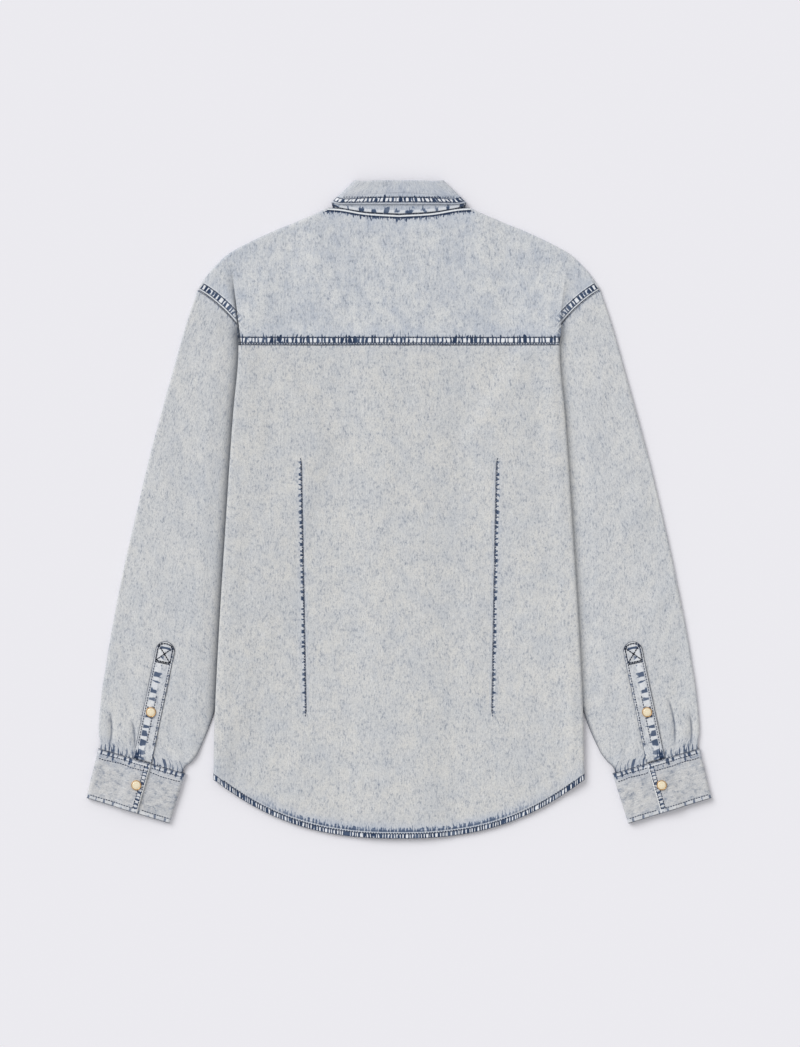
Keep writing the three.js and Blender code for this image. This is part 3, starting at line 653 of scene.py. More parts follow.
@dataclass(frozen=True)
class WashedDenim:
    """Acid-washed indigo twill.

    Pumice soaked in bleach was tumbled with the sewn shirt. It leaves a pale, dull, slightly blue
    cloth with clouds of deeper blue, and short upright flecks where single warp threads kept dye. The
    flecks are 1 to 2 mm wide, coarser than the yarn, because the yarn is too fine to show.
    """

    name: str
    pale: str = "DCDBD8"
    cloud: str = "C3C8CF"
    fleck: str = "808897"
    bleached: str = "F0F2F5"
    indigo: str = "1A2B47"
    mid_blue: str = "6A83A8"
    halo_blue: str = "9FB0CC"
    lint: str = "E4E5E5"
    slub: str = "9BA0A9"
    cloud_share: float = 0.5
    fleck_share: float = 0.78
    fleck_mm: Pair = (2.1, 4.2)
    cloud_mm: float = 46.0
    mottle: float = 0.3
    mottle_colour: str = "AFB7C4"
    crinkle: float = 1.6
    seams: tuple[SeamLook, ...] = ()
    # painted shade towards folds, creases and edges
    shades: tuple[Shade, ...] = ()
    roughness: float = 0.93

    def stretched(
        self, tree: NodeTree, across: NodeSocket, along: NodeSocket, cell: Pair,
        seed: float | None = None, **settings: float,
    ) -> Node:
        """Lays noise over the cloth with long or wide grains.

        Args:
            tree: the material's tree.
            across: the place in the first direction, in millimetres.
            along: the place in the second direction.
            cell: the size of a grain in each direction.
            seed: which noise; the grain's second size if none is given.
            settings: the noise's detail and roughness.

        Returns:
            The noise.
        """
        u = add(tree, "Math", across, 1 / cell[0], operation="MULTIPLY")
        v = add(tree, "Math", along, 1 / cell[1], operation="MULTIPLY")
        at = add(tree, "CombineXYZ", u, v, cell[1] if seed is None else seed)
        return add(tree, "TexNoise", at, Scale=1.0, **settings)

    def base(self, tree: NodeTree) -> tuple[Node, Node]:
        """Colours the plain cloth.

        Args:
            tree: the material's tree.

        Returns:
            The colour, and the height of the yarn for the bump.
        """
        grain = add(tree, "SeparateXYZ", add(tree, "Attribute", attribute_name="grain").outputs["Vector"])
        across, along = grain.outputs[0], grain.outputs[1]
        wide = add(tree, "CombineXYZ", across, along)
        scaled = add(tree, "VectorMath", wide, operation="SCALE", Scale=1 / self.cloud_mm)
        clouds = add(tree, "TexNoise", scaled, Scale=1.0, Detail=4.0, Roughness=0.62)
        cloudy = add(tree, "MapRange", clouds, 0.40, 0.66, 0.0, self.cloud_share)
        colour = add(tree, "MixRGB", cloudy, linear(self.pale), linear(self.cloud))
        patch = self.stretched(tree, across, along, (10.0, 17.0), Detail=4.0, Roughness=0.7)
        patchy = add(tree, "MapRange", patch, 0.42, 0.64, 0.0, self.mottle)
        colour = add(tree, "MixRGB", patchy, colour, linear(self.mottle_colour))
        flecks = self.stretched(tree, across, along, self.fleck_mm, Detail=4.0, Roughness=0.72)
        dark = add(tree, "MapRange", flecks, 0.49, 0.68, 0.0, self.fleck_share)
        clumped = add(tree, "MapRange", patch, 0.36, 0.6, 0.35, 1.2)
        flecked = add(tree, "Math", dark, clumped, operation="MULTIPLY")
        colour = add(tree, "MixRGB", flecked, colour, linear(self.fleck))
        streaks = self.stretched(tree, across, along, (2.0, 11.0), Detail=3.0, Roughness=0.6)
        light = add(tree, "MapRange", streaks, 0.54, 0.7, 0.0, 0.7)
        colour = add(tree, "MixRGB", light, colour, linear(self.lint))
        slubs = self.stretched(tree, across, along, (1.2, 1.9), Detail=2.0, Roughness=0.7)
        worn = add(tree, "MapRange", slubs, 0.40, 0.7, 0.0, 0.42)
        colour = add(tree, "MixRGB", worn, colour, linear(self.slub))
        crinkle = self.stretched(tree, across, along, (7.0, 9.0), Detail=3.0, Roughness=0.6)
        slubs = add(tree, "Math", crinkle, self.crinkle, slubs, operation="MULTIPLY_ADD")
        return colour, slubs

    def marked(self, tree: NodeTree, colour: Node, height: Node, seam: SeamLook) -> tuple[Node, Node]:
        """Draws one seam's bars, spikes, halo and stitch rows over the cloth.

        Args:
            tree: the material's tree.
            colour: the colour so far.
            height: the bump height so far.
            seam: how this seam looks.

        Returns:
            The new colour and height.
        """
        layer = add(tree, "Attribute", attribute_name=seam.layer)
        layer = add(tree, "SeparateXYZ", layer.outputs["Vector"])
        along, distance, strength = layer.outputs[0], layer.outputs[1], layer.outputs[2]
        start, end = seam.bars
        wander = self.stretched(tree, along, distance, (9.0, 70.0), seam.seed, Detail=1.0)
        shifted = add(tree, "Math", wander, 9.0, along, operation="MULTIPLY_ADD")
        turns = add(tree, "Math", shifted, 2 * math.pi / seam.pitch, operation="MULTIPLY")
        wave = add(tree, "Math", turns, operation="SINE")
        bar_cell = (seam.pitch / 1.7, 14.0)
        bars = self.stretched(tree, shifted, distance, bar_cell, seam.seed + 5, Detail=2.0, Roughness=0.5)
        bars = add(tree, "Math", wave, 0.17, bars, operation="MULTIPLY_ADD")
        bars = add(tree, "Math", bars, seam.cover - 0.5, operation="ADD")
        hollow = add(tree, "MapRange", bars, 0.47, 0.53)
        into = add(tree, "MapRange", distance, start - 0.4, start + 0.4)
        out_of = add(tree, "MapRange", distance, end + 0.4, end - 0.4)
        inside = add(tree, "Math", into, out_of, operation="MULTIPLY")
        spike_cell = (2.2, 14.0)
        spike_seed = seam.seed + 9
        spiky = self.stretched(tree, shifted, distance, spike_cell, spike_seed, Detail=1.0, Roughness=0.5)
        reach = add(tree, "MapRange", spiky, 0.42, 0.7, end - 0.5, end + seam.spikes)
        within = add(tree, "Math", reach, distance, operation="SUBTRACT")
        tips = add(tree, "MapRange", within, -0.5, 0.9)
        beyond = add(tree, "MapRange", distance, end - 0.3, end + 0.3)
        spikes = add(tree, "Math", tips, beyond, operation="MULTIPLY")
        patch_u = add(tree, "Math", along, 1 / 26.0, operation="MULTIPLY")
        patch_at = add(tree, "CombineXYZ", patch_u, seam.seed + 2)
        patches = add(tree, "TexNoise", patch_at, Scale=1.0, Detail=2.0, Roughness=0.6)
        patchy = add(tree, "MapRange", patches, 0.34, 0.54, 0.6, 1.0)
        shown = add(tree, "Math", patchy, strength, operation="MULTIPLY")
        halo_reach, halo_share = seam.halo
        halo = add(tree, "MapRange", distance, end + halo_reach, end, 0.0, halo_share)
        halo = add(tree, "Math", halo, shown, operation="MULTIPLY")
        colour = add(tree, "MixRGB", halo, colour, linear(self.halo_blue))
        ridge = add(tree, "Math", 1.0, hollow, operation="SUBTRACT")
        white = ridge
        for share in (inside, seam.white, strength):
            white = add(tree, "Math", white, share, operation="MULTIPLY")
        colour = add(tree, "MixRGB", white, colour, linear(self.bleached))
        spike_hollow = add(tree, "Math", spikes, hollow, operation="MULTIPLY")
        bar_hollow = add(tree, "Math", inside, hollow, operation="MULTIPLY")
        marks = add(tree, "Math", spike_hollow, bar_hollow, operation="MAXIMUM")
        marks = add(tree, "Math", marks, shown, operation="MULTIPLY")
        blue = add(tree, "Math", marks, seam.navy, operation="MULTIPLY")
        blue = add(tree, "Math", blue, 1.15, operation="MULTIPLY", use_clamp=True)
        colour = add(tree, "MixRGB", blue, colour, linear(self.mid_blue))
        deep = add(tree, "MapRange", bars, 0.475, 0.54)
        for share in (marks, seam.navy):
            deep = add(tree, "Math", deep, share, operation="MULTIPLY")
        colour = add(tree, "MixRGB", deep, colour, linear(self.indigo))
        puckers = add(tree, "Math", ridge, inside, operation="MULTIPLY")
        height = add(tree, "Math", puckers, 1.6, height, operation="MULTIPLY_ADD")
        for row in seam.stitches:
            off = add(tree, "Math", distance, row.distance, operation="SUBTRACT")
            off = add(tree, "Math", off, operation="ABSOLUTE")
            line = add(tree, "MapRange", off, row.width * 0.75, row.width * 0.35, 0.0, row.strength)
            gap_u = add(tree, "Math", along, 1 / 1.5, operation="MULTIPLY")
            gap_at = add(tree, "CombineXYZ", gap_u, row.distance)
            gaps = add(tree, "TexNoise", gap_at, Scale=1.0, Detail=0.0)
            broken = add(tree, "MapRange", gaps, 0.34, 0.5, 0.6, 1.0)
            for share in (broken, strength):
                line = add(tree, "Math", line, share, operation="MULTIPLY")
            colour = add(tree, "MixRGB", line, colour, linear(row.colour))
            height = add(tree, "Math", line, -1.2, height, operation="MULTIPLY_ADD")
        return colour, height

    def build(self) -> Material:
        """Makes the material."""
        material, tree = new_material(self.name)
        colour, height = self.base(tree)
        for seam in self.seams:
            colour, height = self.marked(tree, colour, height, seam)
        # painted shade: each layer darkens the colour towards its line, over its reach
        for shade in self.shades:
            layer = add(tree, "Attribute", attribute_name=shade.layer)
            layer = add(tree, "SeparateXYZ", layer.outputs["Vector"])
            near = add(tree, "MapRange", layer.outputs[1], shade.reach, 0.0)
            near = add(tree, "Math", near, 1.9, operation="POWER")
            near = add(tree, "Math", near, layer.outputs[2], operation="MULTIPLY")
            colour = add(tree, "MixRGB", near, colour, linear(shade.colour))
        bump = add(tree, "Bump", Strength=0.5, Distance=0.35 * MM, Height=height)
        shader = add(
            tree, "BsdfPrincipled", Base_Color=colour, Roughness=self.roughness, Normal=bump,
            Specular_IOR_Level=0.25, Sheen_Weight=0.12, Sheen_Roughness=0.5,
        )
        add(tree, "OutputMaterial", shader)
        return material


@dataclass(frozen=True)
class SmoothFinish:
    """A smooth hard finish with slight unevenness in its gloss.

    Polished brass is a warm mirror with a little handling wear; moulded pearl resin is a milky cream
    with a soft clear gloss.
    """

    name: str
    colour: str
    second: str
    metallic: float
    roughness: float
    coat: float = 0.0

    def build(self) -> Material:
        """Makes the material."""
        material, tree = new_material(self.name)
        where = add(tree, "TexCoord")
        wear = add(tree, "TexNoise", where.outputs["Object"], Scale=600.0, Detail=3.0)
        share = add(tree, "MapRange", wear, 0.35, 0.65)
        colour = add(tree, "MixRGB", share, linear(self.colour), linear(self.second))
        rough = add(tree, "MapRange", wear, 0.3, 0.7, self.roughness * 0.8, self.roughness * 1.25)
        shader = add(
            tree, "BsdfPrincipled", Base_Color=colour, Metallic=self.metallic, Roughness=rough,
            Coat_Weight=self.coat,
        )
        add(tree, "OutputMaterial", shader)
        return material


BRASS = SmoothFinish("polished brass", "E6C08A", "C99A5E", 1.0, 0.34)
PEARL = SmoothFinish("moulded pearl resin", "F5E9CF", "E9D8B3", 0.0, 0.22, coat=0.5)

HEM_LOOK = SeamLook("hem", (0.4, 5.6), 3.6, 0.8, (
    Stitching(0.2, 1.0, 0.6), Stitching(5.4, 1.1, 0.75)), cover=0.57, seed=1)
HEM_SECOND_LOOK = SeamLook("hem_second", (7.8, 10.8), 4.6, 5.5, (
    Stitching(8.9, 0.9, 0.6), Stitching(6.9, 1.2, 0.95, "EDF0F3")), navy=0.8, white=0.3, halo=(9, 0.25),
                           cover=0.6, seed=21)
DART_LOOK = SeamLook("dart", (0.9, 4.2), 6.5, 1.5, (Stitching(0.4, 1.1, 0.9),), navy=0.8, white=0.25,
                     halo=(6.0, 0.15), cover=0.46, seed=2)
# the back under the yoke's lower edge: partly painted shade of that edge, partly navy and white wash marks
BELOW_YOKE = SeamLook("yoke_seam", (0.0, 0.6), 5.0, 4.0, (), navy=0.3, white=0.4, halo=(14, 0.1),
                      cover=0.42, seed=3)
# the first dark row, at the yoke's lower edge, is partly a navy fringe and partly painted shade of that
# edge
YOKE_LOOK = SeamLook("low", (2.6, 8.6), 5.0, 7.5, (
    Stitching(0.4, 1.2, 0.85), Stitching(3.0, 1.1, 0.75), Stitching(9.4, 1.3, 0.9),
    Stitching(1.8, 0.6, 0.5, "C8CED8")), cover=0.52, seed=4)
ARMHOLE_LOOK = SeamLook("armhole", (2.9, 8.8), 5.0, 3.0, (
    Stitching(0.3, 1.0, 0.9), Stitching(2.9, 1.0, 0.85), Stitching(9.4, 1.1, 0.8),
    Stitching(1.6, 0.9, 0.9, "E6EAEE"), Stitching(11.0, 1.0, 0.5, "EDF0F3")), cover=0.56, seed=5)
NECK_LOOK = SeamLook("neck", (3.0, 5.6), 3.2, 4.2, (
    Stitching(0.2, 1.4, 1.0), Stitching(4.0, 1.9, 1.0), Stitching(2.0, 1.4, 0.95, "EEF1F3")),
    navy=0.9, white=0.7, cover=0.62, seed=6)
LEAF_LOOK = SeamLook("edge", (3.2, 7.8), 5.2, 6.0, (
    Stitching(2.6, 1.2, 0.95), Stitching(8.4, 1.3, 0.95), Stitching(13.6, 0.7, 0.25)),
    navy=0.92, white=0.85, cover=0.49, seed=7)
STAND_LOOK = SeamLook("neck", (0.5, 4.6), 15.0, 5.5, (Stitching(0.3, 1.2, 0.95),), navy=0.75,
                      white=0.5, cover=0.44, seed=8)
CUFF_TOP_LOOK = SeamLook("top", (0.9, 5.0), 7.0, 6.0, (
    Stitching(0.4, 1.2, 0.9), Stitching(1.9, 0.6, 0.6)), navy=0.8, white=0.45, cover=0.42, seed=9)
CUFF_FOOT_LOOK = SeamLook("bottom", (0.5, 4.6), 11.0, 2.0, (Stitching(0.4, 1.0, 0.55),), navy=0.5,
                          white=0.3, halo=(8, 0.08), cover=0.36, seed=10)
CUFF_LAP_LOOK = SeamLook("lap", (1.4, 6.0), 5.0, 1.0, (Stitching(0.7, 1.2, 0.9, "F2F3F3"),),
                         navy=0.8, white=0.4, halo=(6, 0.05), cover=0.44, seed=11)
CUFF_HEAD_LOOK = SeamLook("cuff", (0.0, 1.5), 5.0, 15.0, (), navy=0.7, white=0.5, halo=(20, 0.2),
                          cover=0.52, seed=12)
SLEEVE_HEAD_LOOK = SeamLook("armhole", (0.0, 0.8), 5.0, 5.0, (Stitching(1.0, 1.0, 0.7),), navy=0.4,
                            white=0.3, halo=(16, 0.15), seed=13)
PLACKET_LOOKS = (
    SeamLook("inner", (0.8, 2.0), 9.0, 2.0, (Stitching(0.3, 1.0, 0.8),), navy=0.4, white=0.6,
             halo=(6, 0.0), cover=0.4, seed=14),
    SeamLook("outer", (4.2, 11.5), 10.5, 4.0, (Stitching(0.3, 1.0, 0.8),), navy=0.72, white=0.45,
             halo=(6, 0.0), cover=0.45, seed=15),
    SeamLook("foot", (0.0, 4.0), 9.0, 12.0, (), navy=0.9, white=0.1, halo=(12, 0.2), cover=0.62, seed=16),
)
# painted shade on the sleeve beside the body's side fold
SLEEVE_SHADE = Shade("fold")
# painted shade along the sleeve's inner crease
INNER_EDGE_SHADE = Shade("inner_edge", 5.0, "26334A")
# painted shade in the troughs of the sleeves' sharp wrinkles
WRINKLE_SHADE = Shade("wrinkle", 2.6, "4A566B")
# painted shade on the yoke beside its side crease
YOKE_SHADE = Shade("crease", 19.0, "2B313C")

PLAIN_CLOTH = WashedDenim("acid-washed denim, plain")
BAND_CLOTH = WashedDenim("acid-washed denim, band", pale="C8CBD0")
BACK_CLOTH = WashedDenim("acid-washed denim, back",
                         seams=(BELOW_YOKE, DART_LOOK, HEM_SECOND_LOOK, HEM_LOOK))
YOKE_CLOTH = WashedDenim("acid-washed denim, yoke", pale="DFE0E0", cloud="B9C0CC",
                         cloud_share=0.6, mottle=0.45, mottle_colour="A8B2C3",
                         seams=(ARMHOLE_LOOK, NECK_LOOK, YOKE_LOOK), shades=(YOKE_SHADE,))
STAND_CLOTH = WashedDenim("acid-washed denim, collar stand", pale="C8CCD2", seams=(STAND_LOOK,))
LEAF_CLOTH = WashedDenim("acid-washed denim, collar", pale="D7D9DC", cloud="ACB5C5", cloud_share=0.6,
                         seams=(LEAF_LOOK,))
SLEEVE_CLOTH = WashedDenim("acid-washed denim, sleeve", pale="DCDCDB",
                           seams=(SLEEVE_HEAD_LOOK, CUFF_HEAD_LOOK),
                           shades=(SLEEVE_SHADE, INNER_EDGE_SHADE, WRINKLE_SHADE))
CUFF_CLOTH = WashedDenim("acid-washed denim, cuff", pale="D8D7D6", cloud="BCC0C7", fleck="838C9C",
                         cloud_share=0.4, fleck_share=1.0, cloud_mm=26, fleck_mm=(3.6, 5.5),
                         mottle=0.5, mottle_colour="A9AEB6", crinkle=9.0,
                         seams=(CUFF_LAP_LOOK, CUFF_FOOT_LOOK, CUFF_TOP_LOOK))
PLACKET_CLOTH = WashedDenim("acid-washed denim, placket", pale="E2E3E4", cloud="A6B1C4", cloud_share=0.3,
                            mottle=0.4, cloud_mm=26, seams=PLACKET_LOOKS)


@dataclass
class Materials:
    """The materials made so far, one for each finish."""

    made: dict[str, Material] = field(default_factory=dict)

    def of(self, finish: WashedDenim | SmoothFinish | CottonThread) -> Material:
        """The finish's material, made the first time that it is asked for."""
        if finish.name not in self.made:
            self.made[finish.name] = finish.build()
        return self.made[finish.name]


MATERIALS = Materials()


def dress(piece: Object, material: Material, slot: str, *nodes: str) -> Object:
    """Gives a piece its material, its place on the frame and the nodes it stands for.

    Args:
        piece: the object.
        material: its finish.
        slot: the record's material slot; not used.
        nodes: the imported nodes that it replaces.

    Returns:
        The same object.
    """
    piece.data.materials.append(material)
    if nodes:
        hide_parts(*nodes)
    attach(piece, BODY)
    log.info("%s: %d faces", piece.name, len(piece.data.polygons))
    return piece


# ---- sewing ----


@dataclass(frozen=True)
class Thread:
    """Lockstitch in dark navy thread: each stitch a short low bead that sinks in at both ends."""

    length: float = 2.8
    pitch: float = 3.2
    width: float = 1.1

    def sew(self, name: str, piece: Object, lines: list[Array]) -> Object:
        """Sews rows of stitches on the upper face of a piece.

        Args:
            name: the new object's name.
            piece: the cloth.
            lines: each row's places on the plan, x and y last.

        Returns:
            One object with all the stitches.
        """
        bpy.context.view_layer.update()
        tree = BVHTree.FromObject(piece, bpy.context.evaluated_depsgraph_get())
        points, faces = [], []
        for line in lines:
            whole = lengths(line)[-1]
            count = max(1, round(whole / self.pitch))
            for start in np.arange(count) * whole / count:
                where = start + self.length * np.array([0.0, 0.25, 0.75, 1.0])
                spine = self.landed(tree, read_line(where, line))
                if spine is not None:
                    self.bead(spine, points, faces)
        return new_object(name, points, faces)

    def landed(self, tree: BVHTree, plan: Array) -> Array | None:
        """A stitch's middle line on the cloth's upper face, or None where it would miss the cloth."""
        spine = []
        for (x, y), lift in zip(plan, (-0.25, 0.12, 0.12, -0.25)):
            hit = tree.ray_cast(Vector((x * MM, y * MM, 1.0)), Vector((0.0, 0.0, -1.0)))[0]
            if hit is None:
                return None
            spine.append((x, y, hit.z / MM + lift))
        spine = np.array(spine)
        return None if np.ptp(spine[:, 2]) > 1.2 else spine

    def bead(self, spine: Array, points: list, faces: list) -> None:
        """Adds one stitch about its middle line.

        Args:
            spine: four points, from end to end.
            points: the mesh's points so far.
            faces: the mesh's faces so far.
        """
        along = spine[-1] - spine[0]
        across = np.array([-along[1], along[0], 0.0]) / max(float(np.hypot(along[0], along[1])), 1e-6)
        first = len(points)
        for point, share in zip(spine, (0.45, 1.0, 1.0, 0.45)):
            half = self.width / 2 * share
            rim = [across * half, np.array([0.0, 0.0, half]), -across * half, np.array([0.0, 0.0, -half])]
            points.extend(((point + out) * MM).tolist() for out in rim)
        for ring in range(3):
            base = first + 4 * ring
            for n, m in ((0, 1), (1, 2), (2, 3), (3, 0)):
                faces.append([base + n, base + m, base + 4 + m, base + 4 + n])
        faces.append([first + 3, first + 2, first + 1, first])
        faces.append([first + 12 + n for n in range(4)])


@dataclass(frozen=True)
class CottonThread:
    """Spun navy cotton thread, faded unevenly by the wash: matt, with blue-grey worn stretches."""

    name: str = "faded navy cotton thread"
    deep: str = "222F49"
    faded: str = "44536E"

    def build(self) -> Material:
        """Makes the material."""
        material, tree = new_material(self.name)
        where = add(tree, "TexCoord")
        wear = add(tree, "TexNoise", where.outputs["Object"], Scale=140.0, Detail=2.0)
        share = add(tree, "MapRange", wear, 0.42, 0.66)
        colour = add(tree, "MixRGB", share, linear(self.deep), linear(self.faded))
        shader = add(tree, "BsdfPrincipled", Base_Color=colour, Roughness=0.85)
        add(tree, "OutputMaterial", shader)
        return material


FRESH_COTTON = CottonThread("navy cotton thread, little faded", "141B29", "26344E")


def sewn(
    name: str, piece: Object, lines: list[Array], thread: Thread = Thread(),
    cotton: CottonThread = CottonThread(),
) -> Object:
    """One object with rows of stitches that lie on a piece, dressed in thread."""
    stitches = thread.sew(name, piece, lines)
    return dress(stitches, MATERIALS.of(cotton), "denim")


@dataclass(frozen=True)
class Cut:
    """The flat cloth that a piece was cut to, in metres and square metres."""

    width: float
    length: float
    area: float


def finish_cloth(shell: Shell, finish: WashedDenim, slot: str, cut: Cut, *rests_on: str) -> Object:
    """Builds a cloth piece, dresses it and logs its area beside its cut's.

    Args:
        shell: the piece.
        finish: its cloth.
        slot: the record's material slot; not used.
        cut: the cloth it was cut to.
        rests_on: the nodes that it lies on, none for the floor; not used.

    Returns:
        The new object.
    """
    piece = dress(shell.build(), MATERIALS.of(finish), slot, shell.name)
    log.info("%s: area %.4f m2, cut to %.4f m2", shell.name, shell.area(), cut.area)
    return piece


# ---- the body ----


UNDER_THE_BACK = ("front_left", "front_right", "sleeve_left", "sleeve_right")


@dataclass(frozen=True)
class Panel:
    """Columns across half of a body panel: out to the side fold, round it, and in to the side seam."""

    main: int
    turn: int
    side: int
    main_width: float = 219.0
    turn_width: float = 7.0
    side_width: float = 60.0

    def distances(self) -> Array:
        """How far along the cloth each column is from the centre, at the hem."""
        out = np.linspace(0, self.main_width, self.main + 1)
        round_fold = self.main_width + self.turn_width * np.arange(1, self.turn + 1) / self.turn
        back_in = round_fold[-1] + self.side_width * np.arange(1, self.side + 1) / self.side
        return np.concatenate([out, round_fold, back_in])

    def points(self, y: Array, high_at: object, low_at: object) -> tuple[Array, Array]:
        """Lays half of a panel.

        Args:
            y: the y of each row and column.
            high_at: the upper part's height at x and y.
            low_at: the turned-in part's height at x and y.

        Returns:
            The points, and how far each is across the cloth from the centre.
        """
        out, bend, back_in = np.split(y, [self.main + 1, self.main + 1 + self.turn], axis=1)
        x = PLAN.fold_centre(out) * np.arange(self.main + 1) / self.main
        upper = np.stack([x, out, high_at(x, out)], axis=-1)
        centre = PLAN.fold_centre(bend)
        high, low = high_at(centre, bend), low_at(centre, bend)
        radius = (high - low) / 2
        angle = math.pi * np.arange(1, self.turn + 1) / self.turn
        round_fold = np.stack(
            [centre + radius * np.sin(angle), bend, low + radius + radius * np.cos(angle)], axis=-1
        )
        centre_in = PLAN.fold_centre(back_in)
        inner = blend(centre_in, PLAN.side_edge(back_in), np.arange(1, self.side + 1) / self.side)
        lower = np.stack([inner, back_in, low_at(inner, back_in)], axis=-1)
        across = [x, centre + radius * angle, 2 * centre_in + 8 - inner]
        return np.concatenate([upper, round_fold, lower], axis=1), np.concatenate(across, axis=1)


def doubled(half: Array, sign: bool = False) -> Array:
    """Both halves of a layer, from its half with x over 0.

    Args:
        half: rows of columns, from the centre out.
        sign: whether the first of the last axis changes sign in the mirrored half.

    Returns:
        The layer from the far left column to the far right one.
    """
    other = half[:, :0:-1].copy()
    if sign:
        other[..., 0] *= -1
    return np.concatenate([other, half], axis=1)


@dataclass(frozen=True)
class Body:
    """The back with its turned-in sides, the two fronts under it, and the front placket."""

    back_panel: Panel = Panel(92, 8, 8)
    front_panel: Panel = Panel(34, 6, 6)
    dart_out: Pair = (116.2, 110.5)
    dart_ends: Pair = (61.5, -249.0)
    dart_run: float = 310.0
    ear_rises: tuple[float, float, float] = (212.0, 230.0, 248.0)
    ear_x: float = 212.0
    placket_half: float = 15.5
    placket_ends: Pair = (-377.0, 273.0)
    back_creases: tuple[Crease, ...] = (
        Crease((-178, 176), (-196, -60), 13, 1.1), Crease((-150, 186), (-168, 40), 11, -0.7),
        Crease((176, 180), (198, -70), 13, 1.1), Crease((150, 186), (160, 30), 10, -0.7),
        Crease((-40, 190), (-22, -30), 17, 0.7), Crease((52, 186), (38, 10), 15, 0.6),
        Crease((-96, -40), (-60, -250), 16, -0.6), Crease((84, -60), (70, -270), 15, 0.7),
        Crease((-20, -190), (30, -350), 20, 0.8), Crease((-190, -120), (-206, -300), 10, 0.9),
        Crease((186, -150), (204, -310), 11, 0.8), Crease((-120, -250), (-140, -372), 13, 0.8),
        Crease((112, -258), (136, -366), 12, 0.8),
    )

    def back(self) -> Shell:
        """The back panel, from the hem up to the yoke seam, with both sides turned in.

        Returns:
            Its shell, with layers for the hem, the darts and the yoke seam.
        """
        share = spaced([(0, 0), (0.035, 0.0026), (0.965, 0.0046), (1, 0.0028)])[:, None]
        distance = self.back_panel.distances()
        hem = PLAN.hem(distance)
        top = PLAN.yoke_seam - PLAN.seam_gap / 2
        y = blend(hem, top, share)
        points, across = self.back_panel.points(y, PLAN.back, PLAN.side_return)
        points = doubled(points, sign=True)
        grain = doubled(np.stack([across, y], axis=-1), sign=True)
        x, y = points[..., 0], points[..., 1]
        up = self.upper(points, grain)
        slope = np.gradient(hem, distance)
        along = np.concatenate([[0.0], np.cumsum(np.hypot(np.diff(distance), np.diff(hem)))])
        rise = (y - doubled(hem[None, :])) / np.hypot(1, doubled(slope[None, :]))
        along_hem = doubled(along[None, :]) * np.sign(grain[..., 0] + 0.01)
        middle = ease((188 - np.abs(grain[..., 0])) / 90)
        dart = np.abs(x) - self.dart_x(y)
        sewn = ease((self.dart_ends[0] - y) / 8) * ease((y - self.dart_ends[1]) / 8) * up
        pleat = -0.35 * bell(dart - 1.5, 1.6) * sewn + 0.3 * bell(dart - 4.5, 2.2) * sewn
        lift = creased(self.back_creases, x, y) * up
        lift += 0.32 * uneven(x, y, (34, 46), 11) * up + 0.22 * uneven(x, y, (13, 19), 12) * up
        lift += 0.32 * uneven(x, y * 0 + 3, (8.5, 30), 13) * bell(rise - 2, 9) * up
        lift += 0.25 * uneven(x, y * 0 + 9, (9.5, 30), 14) * bell(top - y, 7) * up
        seams = {
            "hem": seam_values(along_hem, rise), "hem_second": seam_values(along_hem, rise, middle),
            "dart": seam_values(y, np.where((sewn > 0.01) & (dart > -4), dart, FAR), sewn),
            "yoke_seam": seam_values(x, top - y),
        }
        return Shell("back", points, grain, seams, relief=lift + pleat)

    def dart_x(self, y: Array) -> Array:
        """How far out the dart's seam is."""
        return blend(self.dart_out[1], self.dart_out[0], (y - self.dart_ends[1]) / self.dart_run)

    def upper(self, points: Array, grain: Array) -> Array:
        """How much of a crease shows: 1 on the upper part, 0 round the fold and on what is turned in."""
        inside = PLAN.fold_centre(points[..., 1]) - np.abs(grain[..., 0])
        return ease(inside / 9)

    def front(self, side: Side) -> Shell:
        """One front, with its side turned in up to the yoke's level and its ear flat above that.

        Args:
            side: the wearer's side.

        Returns:
            Its shell.
        """
        lift = 3.9 if side is Side.LEFT else 5.3
        panel = self.front_panel
        distance = panel.distances()
        rows = spaced([(0, 0), (0.04, 0.01), (1, 0.0104)])[:, None]
        y = blend(PLAN.front_hem(distance), PLAN.yoke_seam - PLAN.seam_gap, rows)
        low, _ = panel.points(
            y, lambda a, b: PLAN.front(a, b, lift), lambda a, b: PLAN.side_return(a, b) + 1.6,
        )
        edge = np.linspace(-16, 0, 5)[:-1][None, :]
        edge_y = np.repeat(y[:, :1], 4, axis=1)
        edge_x = np.repeat(edge, len(y), axis=0)
        flap = np.stack([edge_x, edge_y, PLAN.front(edge_x, edge_y, lift)], axis=-1)
        low = np.concatenate([flap, low], axis=1)
        levels = [(self.ear_rises[0], 0.0), (self.ear_rises[1], 0.0)]
        levels += [(self.ear_rises[2], share) for share in np.linspace(0, 1, 15)]
        high = np.stack([self.ear_row(level, share, lift) for level, share in levels])
        points = np.concatenate([low, high])
        kept = np.ones((len(points) - 1, points.shape[1] - 1), bool)
        kept[len(low) - 1 : len(low) + 1, panel.main + 4 :] = False
        return Shell(f"front_{side.word}", points, points[..., :2].copy(), keep=kept).sided(side)

